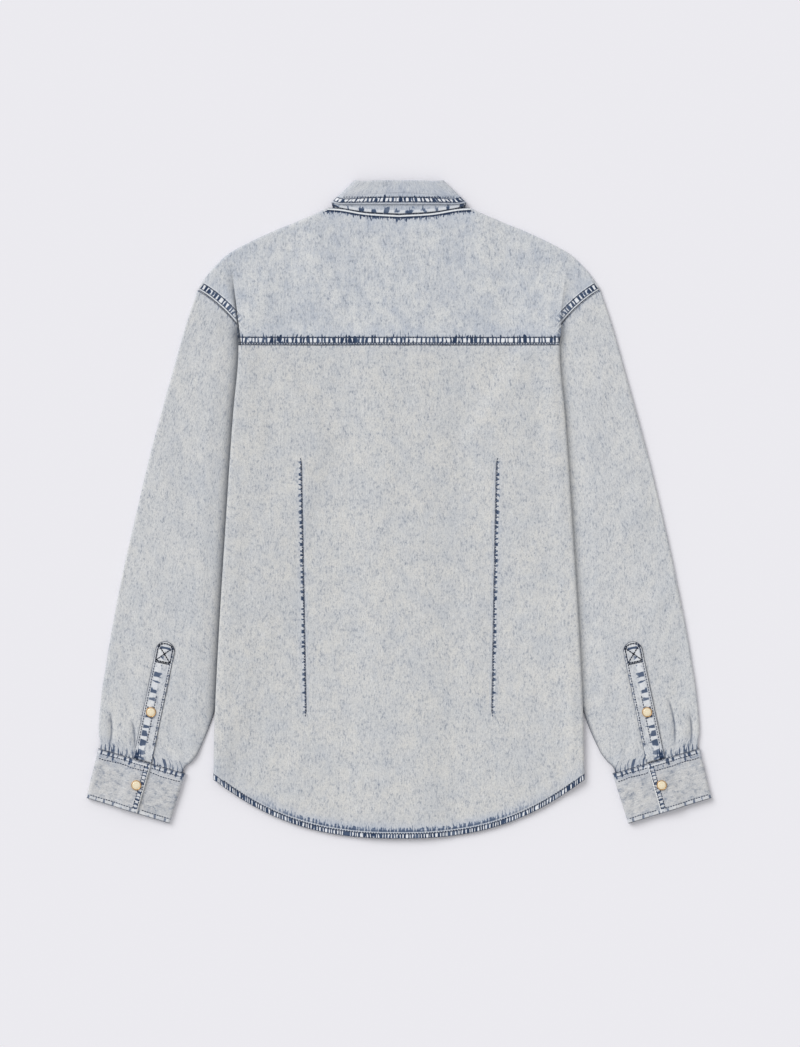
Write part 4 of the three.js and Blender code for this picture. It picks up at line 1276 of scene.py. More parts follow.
    def ear_row(self, level: float, share: float, lift: float) -> Array:
        """One row of a front above the turned-in side.

        Args:
            level: the y that the row starts from.
            share: how far it has gone from there to the neckline and the shoulder seam.
            lift: the closure's lift at the centre.

        Returns:
            The row's points.
        """
        panel = self.front_panel
        reach = float(PLAN.fold_centre(np.array(level)) - 7 * ease((level - PLAN.yoke_seam) / 14))
        main = reach * np.arange(panel.main + 1) / panel.main
        beyond = np.arange(1, panel.turn + panel.side + 1) / (panel.turn + panel.side)
        x = np.concatenate([np.linspace(-16, 0, 5)[:-1], main, blend(reach, self.ear_x, beyond)])
        seam = PLAN.front_shoulder(x) - PLAN.seam_gap
        top = np.where(x < PLAN.front_shoulder.at[0], PLAN.front_neck(x) - 3 * PLAN.seam_gap, seam)
        y = blend(level, top, share)
        return np.stack([x, y, PLAN.front(np.minimum(x, reach), y, lift)], axis=-1)

    def placket(self) -> Shell:
        """The strip down the outer front's edge, towards the floor."""
        across = np.linspace(-self.placket_half, self.placket_half, 13)
        x, y = np.meshgrid(across, np.linspace(*self.placket_ends, 260))
        points = np.stack([x, y, np.full_like(x, 3.0)], axis=-1)
        return Shell("placket_front", points, points[..., :2].copy())

    def build(self) -> None:
        """Builds the pieces of the body and dresses them."""
        cut = Cut(0.62, 0.59, 0.317)
        back = finish_cloth(self.back(), BACK_CLOTH, "denim", cut, *UNDER_THE_BACK)
        hem_x = np.linspace(-214, 214, 300)
        slope = np.gradient(PLAN.hem(np.abs(hem_x)), hem_x)
        out = np.stack([-slope, np.ones_like(slope)], axis=-1) / np.hypot(1, slope)[:, None]
        hem_line = np.stack([hem_x, PLAN.hem(np.abs(hem_x))], axis=-1)
        rows = [hem_line + out * 6.4]
        for side in (-1, 1):
            y = np.linspace(self.dart_ends[0], self.dart_ends[1], 80)
            rows.append(np.stack([side * (self.dart_x(y) + 1.6), y], axis=-1))
        sewn("back_stitches", back, rows)
        for side in Side:
            beneath = "placket_front" if side is Side.LEFT else "front_left"
            cut = Cut(0.32, 0.72, 0.1865)
            finish_cloth(self.front(side), PLAIN_CLOTH, "denim", cut, beneath, f"sleeve_{side.word}")
        finish_cloth(self.placket(), BAND_CLOTH, "denim_band", Cut(0.031, 0.65, 0.0201))


# ---- the yoke and the collar ----


@dataclass(frozen=True)
class Yoke:
    """The yoke: its main field, its ears at the side folds, and the turn over the shoulders."""

    main: int = 100
    ear: int = 26
    turn: int = 8
    under: int = 8
    neck_share: float = 0.4
    creases: tuple[Crease, ...] = (
        Crease((-176, 205), (-150, 300), 12, 0.7), Crease((170, 205), (146, 300), 12, 0.7),
        Crease((-70, 210), (-96, 330), 16, 0.5), Crease((40, 205), (70, 320), 18, -0.4),
        Crease((0, 250), (10, 345), 16, 0.4),
    )

    def outline_x(self, share: Array) -> Array:
        """Where a column meets the neckline, as a share of the columns inside the side crease."""
        out = (share - self.neck_share) / (1 - self.neck_share)
        beyond = blend(PLAN.neck_corner, PLAN.crease_top, out)
        return np.where(share <= self.neck_share, share / self.neck_share * PLAN.neck_corner, beyond)

    def field(self, share: Array, v: Array) -> Array:
        """Points inside the side crease.

        Args:
            share: across, from the centre at 0 to the crease at 1.
            v: up, from the seam at 0 to the neckline or the shoulder at 1.

        Returns:
            The points.
        """
        share, v = np.broadcast_arrays(share, v)
        outline = self.outline_x(share)
        centre, _ = PLAN.shoulder_turn(outline)
        on_neck = outline < PLAN.neck_corner
        top_x = np.where(on_neck, outline, centre[..., 0])
        top_y = np.where(on_neck, PLAN.back_neck(outline) - PLAN.seam_gap, centre[..., 1])
        low = PLAN.yoke_seam + PLAN.seam_gap / 2
        x = blend(PLAN.fold_centre(low) * share, top_x, v)
        y = blend(low, top_y, v)
        return np.stack([x, y, PLAN.yoke(x, y)], axis=-1)

    def ear_field(self, across: Array, v: Array) -> Array:
        """Points of the ear, which turns under at the side fold and opens out flat at the shoulder.

        Args:
            across: from the side crease at 0 to the armhole at 1.
            v: up, as in the main field.

        Returns:
            The points.
        """
        across, v = np.broadcast_arrays(across, v)
        flat = np.zeros_like(v)
        start = self.field(np.ones_like(v), v)
        tip, _ = PLAN.shoulder_turn(np.full_like(v, PLAN.tip_x))
        end_y = blend(PLAN.yoke_seam + PLAN.seam_gap / 2, tip[..., 1], v)
        end_x = np.minimum(PLAN.armhole_x(end_y) - PLAN.seam_gap, blend(300.0, tip[..., 0], v**4))
        end = np.stack([end_x, end_y, blend(3.3, 4.8, ease((end_y - 214) / 24))], axis=-1)
        opened = ease((v - 0.02) / 0.68)
        along = (end - start) * (1, 1, 0)
        length = np.linalg.norm(along, axis=-1)
        way = along / length[..., None]
        out = unit(blend(np.array([1.0, 0.0, 0.0]), way, opened[..., None]))
        angle = -math.pi * (1 - opened)
        arrive = out * np.cos(angle)[..., None]
        arrive[..., 2] = np.sin(angle)
        third = length / 3
        pull = blend(2.0, np.where(opened < 0.5, 19.0, third), np.abs(2 * opened - 1))
        first = start + out * blend(4.5, third, opened)[..., None]
        second = end - arrive * pull[..., None]
        t = across[..., None]
        bend = bezier(start, first, second, end, t)
        crease_end = self.field(np.ones_like(v), np.ones_like(v))
        chord = blend(crease_end[..., :2], tip, t)
        outline, _ = PLAN.shoulder_turn(blend(PLAN.crease_top, PLAN.tip_x, across))
        bulge = (outline - chord) * (v**3)[..., None]
        return bend + np.concatenate([bulge, flat[..., None]], axis=-1)

    def shell(self) -> Shell:
        """The yoke's grid, with layers for its lower seam, the armholes and the neckline.

        Returns:
            Its shell.
        """
        v = spaced([(0, 0), (0.12, 0.011), (0.9, 0.0185), (1, 0.014)])
        share = np.arange(self.main + 1) / self.main
        across = np.arange(1, self.ear + 1) / self.ear
        up_rows = v[:, None]
        top = np.concatenate([self.field(share[None], up_rows), self.ear_field(across[None], up_rows)], 1)
        edge = top[-1]
        outline = np.concatenate([self.outline_x(share), blend(PLAN.crease_top, PLAN.tip_x, across)])
        _, out = PLAN.shoulder_turn(outline)
        low = PLAN.cloth / 2 + PLAN.over_leaf(edge[:, 0], edge[:, 1])
        radius = (edge[:, 2] - low) / 2
        rows = list(top)
        for step in range(1, self.turn + 1):
            angle = math.pi * step / self.turn
            reach = radius * math.sin(angle)
            height = low + radius + radius * math.cos(angle)
            rows.append(np.concatenate([edge[:, :2] + out * reach[:, None], height[:, None]], axis=-1))
        inner = blend(78.5, 190.0, (share - self.neck_share) / (1 - self.neck_share))
        seam_x = np.concatenate([inner, blend(190.0, 215.0, across)])
        seam_y = PLAN.front_shoulder(seam_x) + PLAN.seam_gap
        for step in range(1, self.under + 1):
            part = step / self.under
            x, y = blend(edge[:, 0], seam_x, part), blend(edge[:, 1], seam_y, part)
            on_leaf = PLAN.over_leaf(x, np.full_like(x, 300.0))
            rows.append(np.stack([x, y, PLAN.cloth / 2 + on_leaf], axis=-1))
        half = np.stack(rows)
        v_rows = len(v)
        wrapped = np.arange(len(half)) >= v_rows
        kept = np.ones((len(half) - 1, half.shape[1] - 1), bool)
        neck_columns = round(self.neck_share * self.main)
        kept[v_rows - 1 :, :neck_columns] = False
        step = np.linalg.norm(np.diff(half, axis=0), axis=-1)
        run = np.concatenate([np.zeros((1, half.shape[1])), np.cumsum(step, axis=0)])
        across_step = np.linalg.norm(np.diff(half, axis=1), axis=-1)
        wide = np.concatenate([np.zeros((len(half), 1)), np.cumsum(across_step, axis=1)], axis=1)
        x, y = half[..., 0], half[..., 1]
        on_top = ~wrapped[:, None]
        near, along_armhole = self.from_armhole(x, y)
        to_end = np.where(on_top, near, FAR)
        neck = np.where(on_top & (x < PLAN.neck_corner + 6), PLAN.back_neck(x) - y, FAR)
        folded = ease((np.arange(half.shape[1]) - self.main + 1) / 4)[None]
        up = np.where(on_top, 1 - folded * (1 - ease((v_along(v, len(half)) - 0.5) / 0.3)), 0.0)
        bleach = np.clip((x - 186) / 16, 0, 1)
        ear = np.arange(half.shape[1])[None] >= self.main
        past_crease = np.where(ear & on_top, wide - wide[:, self.main : self.main + 1], FAR)
        low_part = ease((PLAN.crease_top + 96 - y) / 60) * on_top
        points = doubled(half, sign=True)
        px, py = points[..., 0], points[..., 1]
        # painted shade beside the side crease, on the yoke's lower part, stronger on the left than on the
        # right
        shade = doubled(low_part) * np.where(px < 0, 1.0, 0.35)
        seams = {
            "low": seam_values(doubled(wide) * np.sign(px + 0.01), doubled(run)),
            "armhole": seam_values(doubled(along_armhole), doubled(to_end), doubled(bleach)),
            "crease": seam_values(doubled(y), doubled(past_crease), shade),
            "neck": seam_values(px, doubled(neck)),
        }
        up, run2 = doubled(up), doubled(run)
        lift = creased(self.creases, px, py) * up
        lift += (0.26 * uneven(px, py, (30, 40), 21) + 0.2 * uneven(px, py, (12, 16), 22)) * up
        lift += 0.34 * uneven(px, py * 0, (8.6, 30), 23) * bell(run2 - 5, 7) * up
        kept = np.concatenate([kept[:, ::-1], kept], axis=1)
        grain = np.stack([points[..., 0], doubled(run) + 40], axis=-1)
        return Shell("yoke", points, grain, seams, relief=lift, keep=kept)

    def from_armhole(self, x: Array, y: Array) -> tuple[Array, Array]:
        """How far places are from the armhole seam, and how far along it."""
        line = PLAN.armhole(np.linspace(0, 0.6, 240))
        run = lengths(line)
        gaps = np.hypot(x[..., None] - line[:, 0], y[..., None] - line[:, 1])
        nearest = gaps.argmin(axis=-1)
        return gaps.min(axis=-1), run[nearest]

    def build(self) -> None:
        """Builds the yoke and its stitches."""
        cut = Cut(0.55, 0.193, 0.0713)
        piece = finish_cloth(self.shell(), YOKE_CLOTH, "denim", cut, *UNDER_THE_BACK)
        x = np.linspace(-188, 188, 300)
        low = PLAN.yoke_seam
        rows = [np.stack([x, np.full_like(x, low + rise)], axis=-1) for rise in (1.9, 9.2)]
        t = np.linspace(0.02, 0.33, 40)
        curve = PLAN.armhole(t)
        ahead = np.gradient(curve, axis=0)
        normal = unit(np.stack([ahead[:, 1], -ahead[:, 0]], axis=-1))
        for side in (-1, 1):
            rows.append((curve + normal * 9.6) * (side, 1))
        sewn("yoke_stitches", piece, rows)


def v_along(v: Array, rows: int) -> Array:
    """A column of v for each row, held at its last value past the end."""
    return np.concatenate([v, np.full(rows - len(v), v[-1])])[:, None]


@dataclass(frozen=True)
class Collar:
    """The collar as a flattened ring: a stand, and a leaf that rolls over it and falls outside."""

    middle: float = 4.95
    stand_offset: float = 2.0
    leaf_offset: float = 4.15
    stand_part: float = 0.8
    thickness: float = 1.6
    s: tuple[float, ...] = (0, 0.2, 0.36, 0.4, 0.43, 0.46, 0.5, 0.65, 0.85, 1, 1.08)
    turn: tuple[float, ...] = (90, 90, 90, 60, 0, -60, -90, -90, -90, -90, -90)
    neck_x: tuple[float, ...] = (0, 40, 70, 76, 78.5, 78, 76, 66, 34, 2, -8)
    neck_y: tuple[float, ...] = (353, 355.4, 360.3, 362, 362.8, 361, 352, 318, 284, 275, 275.3)
    roll_x: tuple[float, ...] = (0, 26, 45, 49, 50.5, 50, 48, 41, 22, 9, -6)
    roll_y: tuple[float, ...] = (392, 392, 391.5, 391, 390, 388, 380, 345, 316, 307, 308)
    edge_x: tuple[float, ...] = (0, 38, 69, 75, 77.5, 78.5, 84, 93, 86, 72, 72)
    edge_y: tuple[float, ...] = (365, 365, 365, 364.6, 364, 361, 350, 318, 270, 248, 248)

    def places(self, last: float, step: float) -> Array:
        """Places along half of the collar, closest where it turns round beside the neck."""
        return spaced([(0, 0), (0.35, step), (0.5, step * 0.42), (last, step * 1.6)])

    def ring(self, s: Array, side: Side) -> dict[str, Array]:
        """The collar's lines at places along one half.

        Args:
            s: from 0 at the centre back.
            side: the wearer's side, whose end lies over or under the other one's.

        Returns:
            Points of the neck, the roll on the stand's level and on the leaf's, and the leaf's edge.
        """
        read = {name: Curve(self.s, getattr(self, name))(s) for name in (
            "turn", "neck_x", "neck_y", "roll_x", "roll_y", "edge_x", "edge_y")}
        facing = np.radians(read["turn"])
        lift = (0.35 if side is Side.LEFT else 2.35) * ease((s - 0.82) / 0.13)
        rise = unit(np.stack([read["roll_x"] - read["neck_x"], read["roll_y"] - read["neck_y"]], axis=-1))

        def level(line: str, offset: float, extra: Array) -> Array:
            """Points of one line, moved to their level."""
            sideways = offset * np.cos(facing)
            x = read[line + "_x"] + sideways * rise[:, 1]
            y = read[line + "_y"] - sideways * rise[:, 0]
            return np.stack([x, y, self.middle + offset * np.sin(facing) + extra], axis=-1)

        flat = np.zeros_like(s)
        return {
            "neck": level("neck", self.stand_offset, lift),
            "roll_in": level("roll", self.stand_offset, lift),
            "roll_out": level("roll", self.leaf_offset, flat),
            "edge": level("edge", self.leaf_offset, flat),
        }

    def halves(self, rows: list[Array], other: list[Array]) -> Array:
        """Joins the left and the right half of the collar, each with its columns from the centre out."""
        left, right = np.stack(rows) * (-1, 1, 1), np.stack(other)
        return np.concatenate([left[:, :0:-1], right], axis=1)

    def stand(self) -> Shell:
        """The stand, from one front end round the neck to the other."""
        s = self.places(1.08, 0.02)
        both = []
        for side in Side:
            ring = self.ring(s, side)
            parts = np.linspace(0, self.stand_part, 14)
            both.append([blend(ring["neck"], ring["roll_in"], part) for part in parts])
        points = self.halves(*both)
        rise = np.linalg.norm(points - points[:1], axis=-1)
        seams = {"neck": seam_values(points[..., 0], rise)}
        return Shell("collar_stand", points, points[..., :2].copy(), seams, self.thickness)

    def leaf(self) -> Shell:
        """The leaf: up from the stand's top edge, over the roll and down to its outer edge."""
        s = self.places(0.95, 0.0072)
        both = []
        for side in Side:
            ring = self.ring(s, side)
            up = ring["roll_in"] - ring["neck"]
            length = np.linalg.norm(up, axis=-1, keepdims=True)
            start = blend(ring["neck"], ring["roll_in"], self.stand_part + 0.8 / length)
            rows = list(np.linspace(start, ring["roll_in"], 5)[:-1])
            across = (ring["roll_out"] - ring["roll_in"]) / 2
            centre = ring["roll_in"] + across
            for angle in np.linspace(0, math.pi, 11):
                reach = up / length * np.linalg.norm(across, axis=-1, keepdims=True) * math.sin(angle)
                rows.append(centre - across * math.cos(angle) + reach)
            rows.extend(list(np.linspace(ring["roll_out"], ring["edge"], 24))[1:])
            both.append(rows)
        points = self.halves(*both)
        to_edge = np.linalg.norm(points - points[-1:], axis=-1)
        fallen = np.arange(len(points))[:, None] >= 14
        wide = lengths(points[-1])
        wide = np.broadcast_to(wide - wide[len(wide) // 2], points.shape[:2])
        edge = seam_values(wide, np.where(fallen, to_edge, FAR))
        grain = np.stack([wide, -to_edge], axis=-1)
        x, y = points[..., 0], points[..., 1]
        lift = 0.3 * uneven(wide, y * 0, (9, 30), 31) * bell(to_edge - 5, 6) * fallen
        lift += 0.35 * bell(to_edge - 13.5 - 1.5 * uneven(wide, 0 * y, (22, 9), 32), 2.2) * fallen
        lift += 0.2 * uneven(x, y, (14, 12), 33) * fallen
        return Shell("collar_leaf", points, grain, {"edge": edge}, self.thickness, relief=lift)

    def build(self) -> None:
        """Builds the collar's two pieces and its stitches."""
        finish_cloth(self.stand(), STAND_CLOTH, "denim_band", Cut(0.445, 0.032, 0.011), "yoke")
        leaf = finish_cloth(self.leaf(), LEAF_CLOTH, "denim_band", Cut(0.41, 0.096, 0.0185), "collar_stand")
        ring = self.ring(np.linspace(0, 0.35, 60), Side.RIGHT)
        rows = []
        for inset in (2.9, 8.6):
            line = ring["edge"] + (0, inset, 0)
            rows.append(np.concatenate([line[::-1] * (-1, 1, 1), line])[:, :2])
        sewn("collar_stitches", leaf, rows)


# ---- sleeves and cuffs ----


CUFF_TOP = ((256.0, -316.5), (360.0, -286.5))  # the cuff's top edge, from its inner end to its outer one


@dataclass(frozen=True)
class Cuff:
    """A band closed round the wrist, with its outer end lapped over the inner one and snapped."""

    side: Side
    thickness: float = 2.0
    low: float = 1.0
    high: float = 6.6
    lap: float = 9.0
    radius: float = 2.8
    lap_from: float = 42.5
    lap_flat: float = 62.0
    lap_down: float = 73.0
    underlap: float = 60.5
    step: float = 1.35
    corners: tuple[Pair, ...] = (*CUFF_TOP, (274.8, -376.5), (374.5, -345.8))

    @property
    def width(self) -> float:
        """From the inner crease to the outer one, along the top."""
        return math.dist(self.corners[0], self.corners[1])

    @property
    def height(self) -> float:
        """From the top edge to the bottom one, along the inner crease."""
        return math.dist(self.corners[0], self.corners[2])

    def plan(self, a: Array, b: Array) -> Array:
        """A place on the cuff.

        Args:
            a: from its inner crease.
            b: from its top edge.

        Returns:
            The place's x and y on the right side of the shirt.
        """
        u, w = (np.asarray(a, float) / self.width)[..., None], np.asarray(b, float)[..., None] / self.height
        c = [np.array(corner, float) for corner in self.corners]
        return blend(blend(c[0], c[1], u), blend(c[2], c[3], u), w)

    def path(self) -> Array:
        """The way round the wrist, as distance from the inner crease and height, in even steps."""
        edge = self.radius + self.thickness / 2
        down = np.linspace(self.lap_flat, self.lap_down, 9)
        fall = blend(self.lap, self.high, ease((down - self.lap_flat) / (self.lap_down - self.lap_flat)))
        path = [(self.lap_from, self.lap), *zip(down, fall)]
        for centre, way in ((self.width - edge, 1), (edge, -1)):
            for angle in np.linspace(0, math.pi, 13):
                reach = way * self.radius * math.sin(angle)
                path.append((centre + reach, self.low + self.radius + way * self.radius * math.cos(angle)))
        path.append((self.underlap, self.high))
        path = np.array(path)
        whole = lengths(path)[-1]
        where = np.linspace(0, whole, round(whole / self.step))
        return np.concatenate([read_line(where, path), where[:, None]], axis=-1)

    def shell(self) -> Shell:
        """The cuff's grid, with layers for its two long edges and its lap."""
        path = self.path()
        b = np.linspace(0, self.height, round(self.height / self.step))[:, None]
        a, z, run = (np.broadcast_to(path[:, n], (len(b), len(path))) for n in range(3))
        b = np.broadcast_to(b, a.shape)
        plan = self.plan(a, b)
        points = np.concatenate([plan, z[..., None]], axis=-1)
        grain = np.stack([b, run], axis=-1)
        seed = 40 if self.side is Side.LEFT else 50
        up = np.where(z > self.low + 2 * self.radius - 0.3, 1.0, 0.4)
        lift = 0.34 * uneven(run, 0 * b, (7.5, 20), seed) * bell(b - 4, 8) * up
        lift += 0.3 * uneven(run, 0 * b, (8.0, 20), seed + 1) * bell(self.height - b - 3, 8) * up
        lift += 0.42 * (uneven(run, b, (17, 13), seed + 2) + uneven(run, b, (36, 24), seed + 3)) * up
        lift += 0.26 * uneven(0 * run, b, (20, 7.5), seed + 4) * bell(run - 3, 6) * up
        lift = -np.abs(lift) * (z < self.low + 0.2) + lift * (z >= self.low + 0.2)
        seams = {
            "top": seam_values(run, b), "bottom": seam_values(run, self.height - b),
            "lap": seam_values(b, run),
        }
        return Shell(f"cuff_{self.side.word}", points, grain, seams, self.thickness, lift).sided(self.side)

    def build(self) -> None:
        """Builds the cuff and its stitches."""
        cut = Cut(0.237, 0.063, 0.0144)
        piece = finish_cloth(self.shell(), CUFF_CLOTH, "denim_band", cut, f"sleeve_{self.side.word}")
        a, b = np.linspace(3, self.width - 3, 120), np.linspace(5, self.height - 5, 60)
        wobble = 0.9 * uneven(a, 0 * a, (9, 9), 61 + self.side.value)
        wobble_b = 0.5 * uneven(b, 0 * b, (9, 9), 63)
        rows = [
            self.plan(a, 5 + 0.4 * wobble), self.plan(a, 10.8 + wobble),
            self.plan(a[a > self.lap_from + 2], self.height - 5.2 + 0.3 * wobble[a > self.lap_from + 2]),
            self.plan(a[a < self.lap_from - 4], self.height - 5.6 + 0.3 * wobble[a < self.lap_from - 4]),
            self.plan(self.lap_from + 1.6 + 0 * b, b),
            self.plan(self.lap_from + 6.6 + 0.4 * wobble_b, b),
        ]
        sewn(f"cuff_{self.side.word}_stitches", piece, [row * (self.side.value, 1) for row in rows])


@dataclass(frozen=True)
class SleevePlacket:
    """The strip with a round tip that finishes the sleeve's slit, on the sleeve's upper ply."""

    side: Side
    width: float = 23.0
    tip: Pair = (277.9, -158.6)
    foot: Pair = (305.6, -292.5)

    def frame(self) -> tuple[Array, Array]:
        """The ways along the strip, towards the cuff, and across it."""
        down = np.subtract(self.foot, self.tip) / math.dist(self.foot, self.tip)
        return down, np.array([-down[1], down[0]])

    def shell(self) -> Shell:
        """The strip's grid, with layers for its two long edges."""
        half = self.width / 2
        down, across = self.frame()
        sides = np.linspace(-1, 1, 19)
        runs = np.concatenate([[0.15, 0.6, 1.4, 2.5, 4, 5.8, 8], spaced([(10, 0), (131.0, 1.6)])])
        top_in, top_out = CUFF_TOP
        slope = (top_out[1] - top_in[1]) / (top_out[0] - top_in[0])
        rows, edges = [], []
        for run in runs:
            reach = math.sqrt(half**2 - (half - min(run, half)) ** 2) * sides
            base = np.array(self.tip) + across * reach[:, None]
            full = (base[:, 1] - top_in[1] - slope * (base[:, 0] - top_in[0])) / (down[0] * slope - down[1])
            share = max(run - half, 0) / (131.0 - half)
            length = blend(min(run, half), full - 0.8, share)
            plan = base + down * np.asarray(length)[..., None].reshape(-1, 1)
            z = PLAN.sleeve_top(base[:, 0], base[:, 1]) + PLAN.cloth + PLAN.seam_gap
            rows.append(np.concatenate([plan, z[:, None]], axis=1))
            edges.append(np.stack([np.asarray(length) + 0 * reach, reach], axis=-1))
        points, place_on = np.stack(rows), np.stack(edges)
        along, reach = place_on[..., 0], place_on[..., 1]
        tip_edge = half - np.hypot(reach, np.maximum(half - along, 0))
        lift = 0.28 * uneven(along, 0 * along, (8.5, 9), 71 + self.side.value)
        lift += 0.2 * uneven(reach, along, (8, 12), 73)
        foot = along.max(axis=0, keepdims=True) - along
        seams = {
            "foot": seam_values(reach, foot, ease((reach + 4) / 8)),
            "inner": seam_values(along, np.minimum(reach + half, tip_edge + half * (along > half))),
            "outer": seam_values(along, np.minimum(half - reach, tip_edge + half * (along > half))),
        }
        name = f"sleeve_placket_{self.side.word}"
        return Shell(name, points, place_on[..., ::-1].copy(), seams, relief=lift).sided(self.side)

    def build(self) -> None:
        """Builds the strip and its stitches, with the boxed cross near its tip."""
        cut = Cut(0.0232, 0.151, 0.0033)
        piece = finish_cloth(self.shell(), PLACKET_CLOTH, "denim_band", cut, f"sleeve_{self.side.word}")
        down, across = self.frame()
        half, inset = self.width / 2, 2.6

        def line(*stops: Pair) -> Array:
            """A row of stitches through places given across and along the strip."""
            corners = np.array([np.array(self.tip) + across * a + down * b for a, b in stops])
            return read_line(np.arange(0, lengths(corners)[-1], 0.8), corners)

        reach = half - inset
        angles = np.linspace(math.pi, 2 * math.pi, 16)
        arc = [(reach * math.cos(t), half + reach * math.sin(t)) for t in angles]
        rows = [
            line((-reach, 125), (-reach, half), *arc, (reach, half), (reach, 127)),
            line((-1, 66), (-1, 122)),
        ]
        box = [
            line((-reach, 5.6), (-reach, 24.6), (reach, 24.6), (reach, 5.6), (reach - 3, 3.6),
            (0, 2.4), (3 - reach, 3.6), (-reach, 5.6)), line((-reach, 26.2), (reach, 26.2)),
            line((-reach, 5.6), (reach, 24.6)), line((reach, 5.6), (-reach, 24.6)),
        ]
        name = f"sleeve_placket_{self.side.word}"
        way = (self.side.value, 1)
        sewn(f"{name}_stitches", piece, [row * way for row in rows])
        sewn(f"{name}_box", piece, [row * way for row in box], Thread(3.3, 3.2, 1.5), FRESH_COTTON)


@dataclass(frozen=True)
class Sleeve:
    """A flattened tube, open at the armhole and inside the cuff."""

    side: Side
    creases: tuple[Crease, ...]
    under: int = 14
    outer: int = 10
    beside: int = 76
    below: int = 14
    inner: int = 6
    inset_outer: float = 0.02
    inset_inner: float = 0.985

    def plan(self, v: Array, across: Array) -> Array:
        """A place on the flattened sleeve.

        Args:
            v: from the armhole at 0 to the cuff at 1.
            across: from the outer crease at 0 to the inner one at 1.

        Returns:
            Its x and y on the right side of the shirt.
        """
        v, across = np.broadcast_arrays(np.asarray(v, float), np.asarray(across, float))
        point = blend(PLAN.sleeve_outer.at(v), PLAN.sleeve_inner.at(v), across[..., None])
        chord = blend(PLAN.armhole(np.array(0.0)), PLAN.armhole(np.array(1.0)), across[..., None])
        bow = (1 - ease(v / 0.35))[..., None]
        start = np.where(v == 0, PLAN.seam_gap, 0.0)
        return point + (PLAN.armhole(across) - chord) * bow + np.stack([start, -start], axis=-1)

    def crossing(self, v: Array) -> Array:
        """How far across the sleeve the body's side fold crosses it."""
        low, high = np.full_like(v, 0.3), np.full_like(v, 0.8)
        for _ in range(20):
            middle = (low + high) / 2
            point = self.plan(v, middle)
            beside = point[..., 0] > PLAN.fold(point[..., 1]) + 2
            low, high = np.where(beside, middle, low), np.where(beside, high, middle)
        return low

    def shell(self) -> Shell:
        """The sleeve's grid, with a layer for each end."""
        v = spaced([(0, 0), (0.8, 0.0049), (0.945, 0.0036), (0.975, 0.003), (1, 0.01)])[:, None]
        in_cuff = ease((v - 0.945) / 0.03)
        low = blend(PLAN.cloth / 2, 2.8, in_cuff)

        def top(plan: Array) -> Array:
            """The upper ply's height."""
            return blend(PLAN.sleeve_top(plan[..., 0], plan[..., 1]), 4.7, in_cuff)

        def flat(across: Array, upper: bool) -> Array:
            """Points of a flat stretch of either ply."""
            plan = self.plan(v, across)
            z = top(plan) if upper else np.broadcast_to(low, plan.shape[:2])
            return np.concatenate([plan, z[..., None]], axis=-1)

        def turn(across: float, steps: int, way: int) -> Array:
            """Points round one crease."""
            plan = self.plan(v, np.array([[across]]))
            ahead = unit(self.plan(v, np.array([[across - way * 0.01]])) - plan)
            radius = (top(plan) - low) / 2
            angle = math.pi * np.arange(steps) / steps
            reach = radius * np.sin(angle)
            z = low + radius - way * radius * np.cos(angle)
            return np.concatenate([plan + ahead * reach[..., None], z[..., None]], axis=-1)

        crossing = self.crossing(v)
        under = blend(self.inset_inner, self.inset_outer, np.arange(self.under) / self.under)[None]
        beside = blend(self.inset_outer, crossing, np.arange(self.beside) / self.beside)
        below = blend(crossing, self.inset_inner, np.arange(self.below) / self.below)
        lower, outer_turn = flat(under, False), turn(self.inset_outer, self.outer, 1)
        upper, inner_turn = (flat(beside, True), flat(below, True)), turn(self.inset_inner, self.inner, -1)
        points = np.concatenate([lower, outer_turn, *upper, inner_turn], axis=1)
        step = np.linalg.norm(np.diff(points, axis=1), axis=-1)
        wide = np.concatenate([np.zeros((len(points), 1)), np.cumsum(step, axis=1)], axis=1)
        crease = self.under + self.outer // 2
        wide = wide - wide[:, crease : crease + 1]
        run = lengths(points[:, crease])
        run = np.broadcast_to(run[:, None], wide.shape)
        is_upper = np.arange(points.shape[1]) >= self.under + self.outer
        x, y = points[..., 0], points[..., 1]
        (top_x, top_y), (end_x, end_y) = CUFF_TOP
        above_cuff = (y - top_y) * (end_x - top_x) - (x - top_x) * (end_y - top_y)
        above_cuff /= math.dist(*CUFF_TOP)
        # painted shade on the upper ply beside the body's side fold: strong on the left sleeve, weak on the
        # right
        past_fold = np.where(is_upper[None], np.maximum(x - PLAN.fold(y) + 0.6, 0), FAR)
        fold_shade = (0.97 if self.side is Side.LEFT else 0.12) * ease((232 - y) / 24)
        # painted shade along the inner crease, stronger towards the cuff and on the right sleeve
        turned = points.shape[1] - self.inner // 2
        from_edge = np.abs(wide - wide[:, turned : turned + 1])
        inner_crease_shade = (0.6 if self.side is Side.LEFT else 0.95) * ease((-60 - y) / 60)
        seams = {
            # inner_edge, wrinkle and fold carry painted shade; armhole and cuff carry wash marks
            "armhole": seam_values(wide, run), "inner_edge": seam_values(run, from_edge, inner_crease_shade),
            "wrinkle": seam_values(run, *self.wrinkles(x, y)),
            "cuff": seam_values(wide, np.abs(above_cuff)), "fold": seam_values(run, past_fold, fold_shade),
        }
        grain = np.stack([wide, run], axis=-1)
        shell = Shell(f"sleeve_{self.side.word}", points, grain, seams, loop=True).sided(self.side)
        is_upper = is_upper if self.side is Side.RIGHT else is_upper[::-1]
        return replace(shell, relief=self.relief(shell, is_upper, in_cuff))

    def wrinkles(self, x: Array, y: Array) -> tuple[Array, Array]:
        """How far places are from the nearest sharp wrinkle, and how much of it is left there."""
        sharp = [crease.beside(self.side.value * x, y) for crease in self.creases if crease.width < 4]
        gaps, left = np.abs([off for off, _ in sharp]), np.stack([left for _, left in sharp])
        nearest = gaps.argmin(axis=0)[None]
        return tuple(np.take_along_axis(values, nearest, axis=0)[0] for values in (gaps, left))

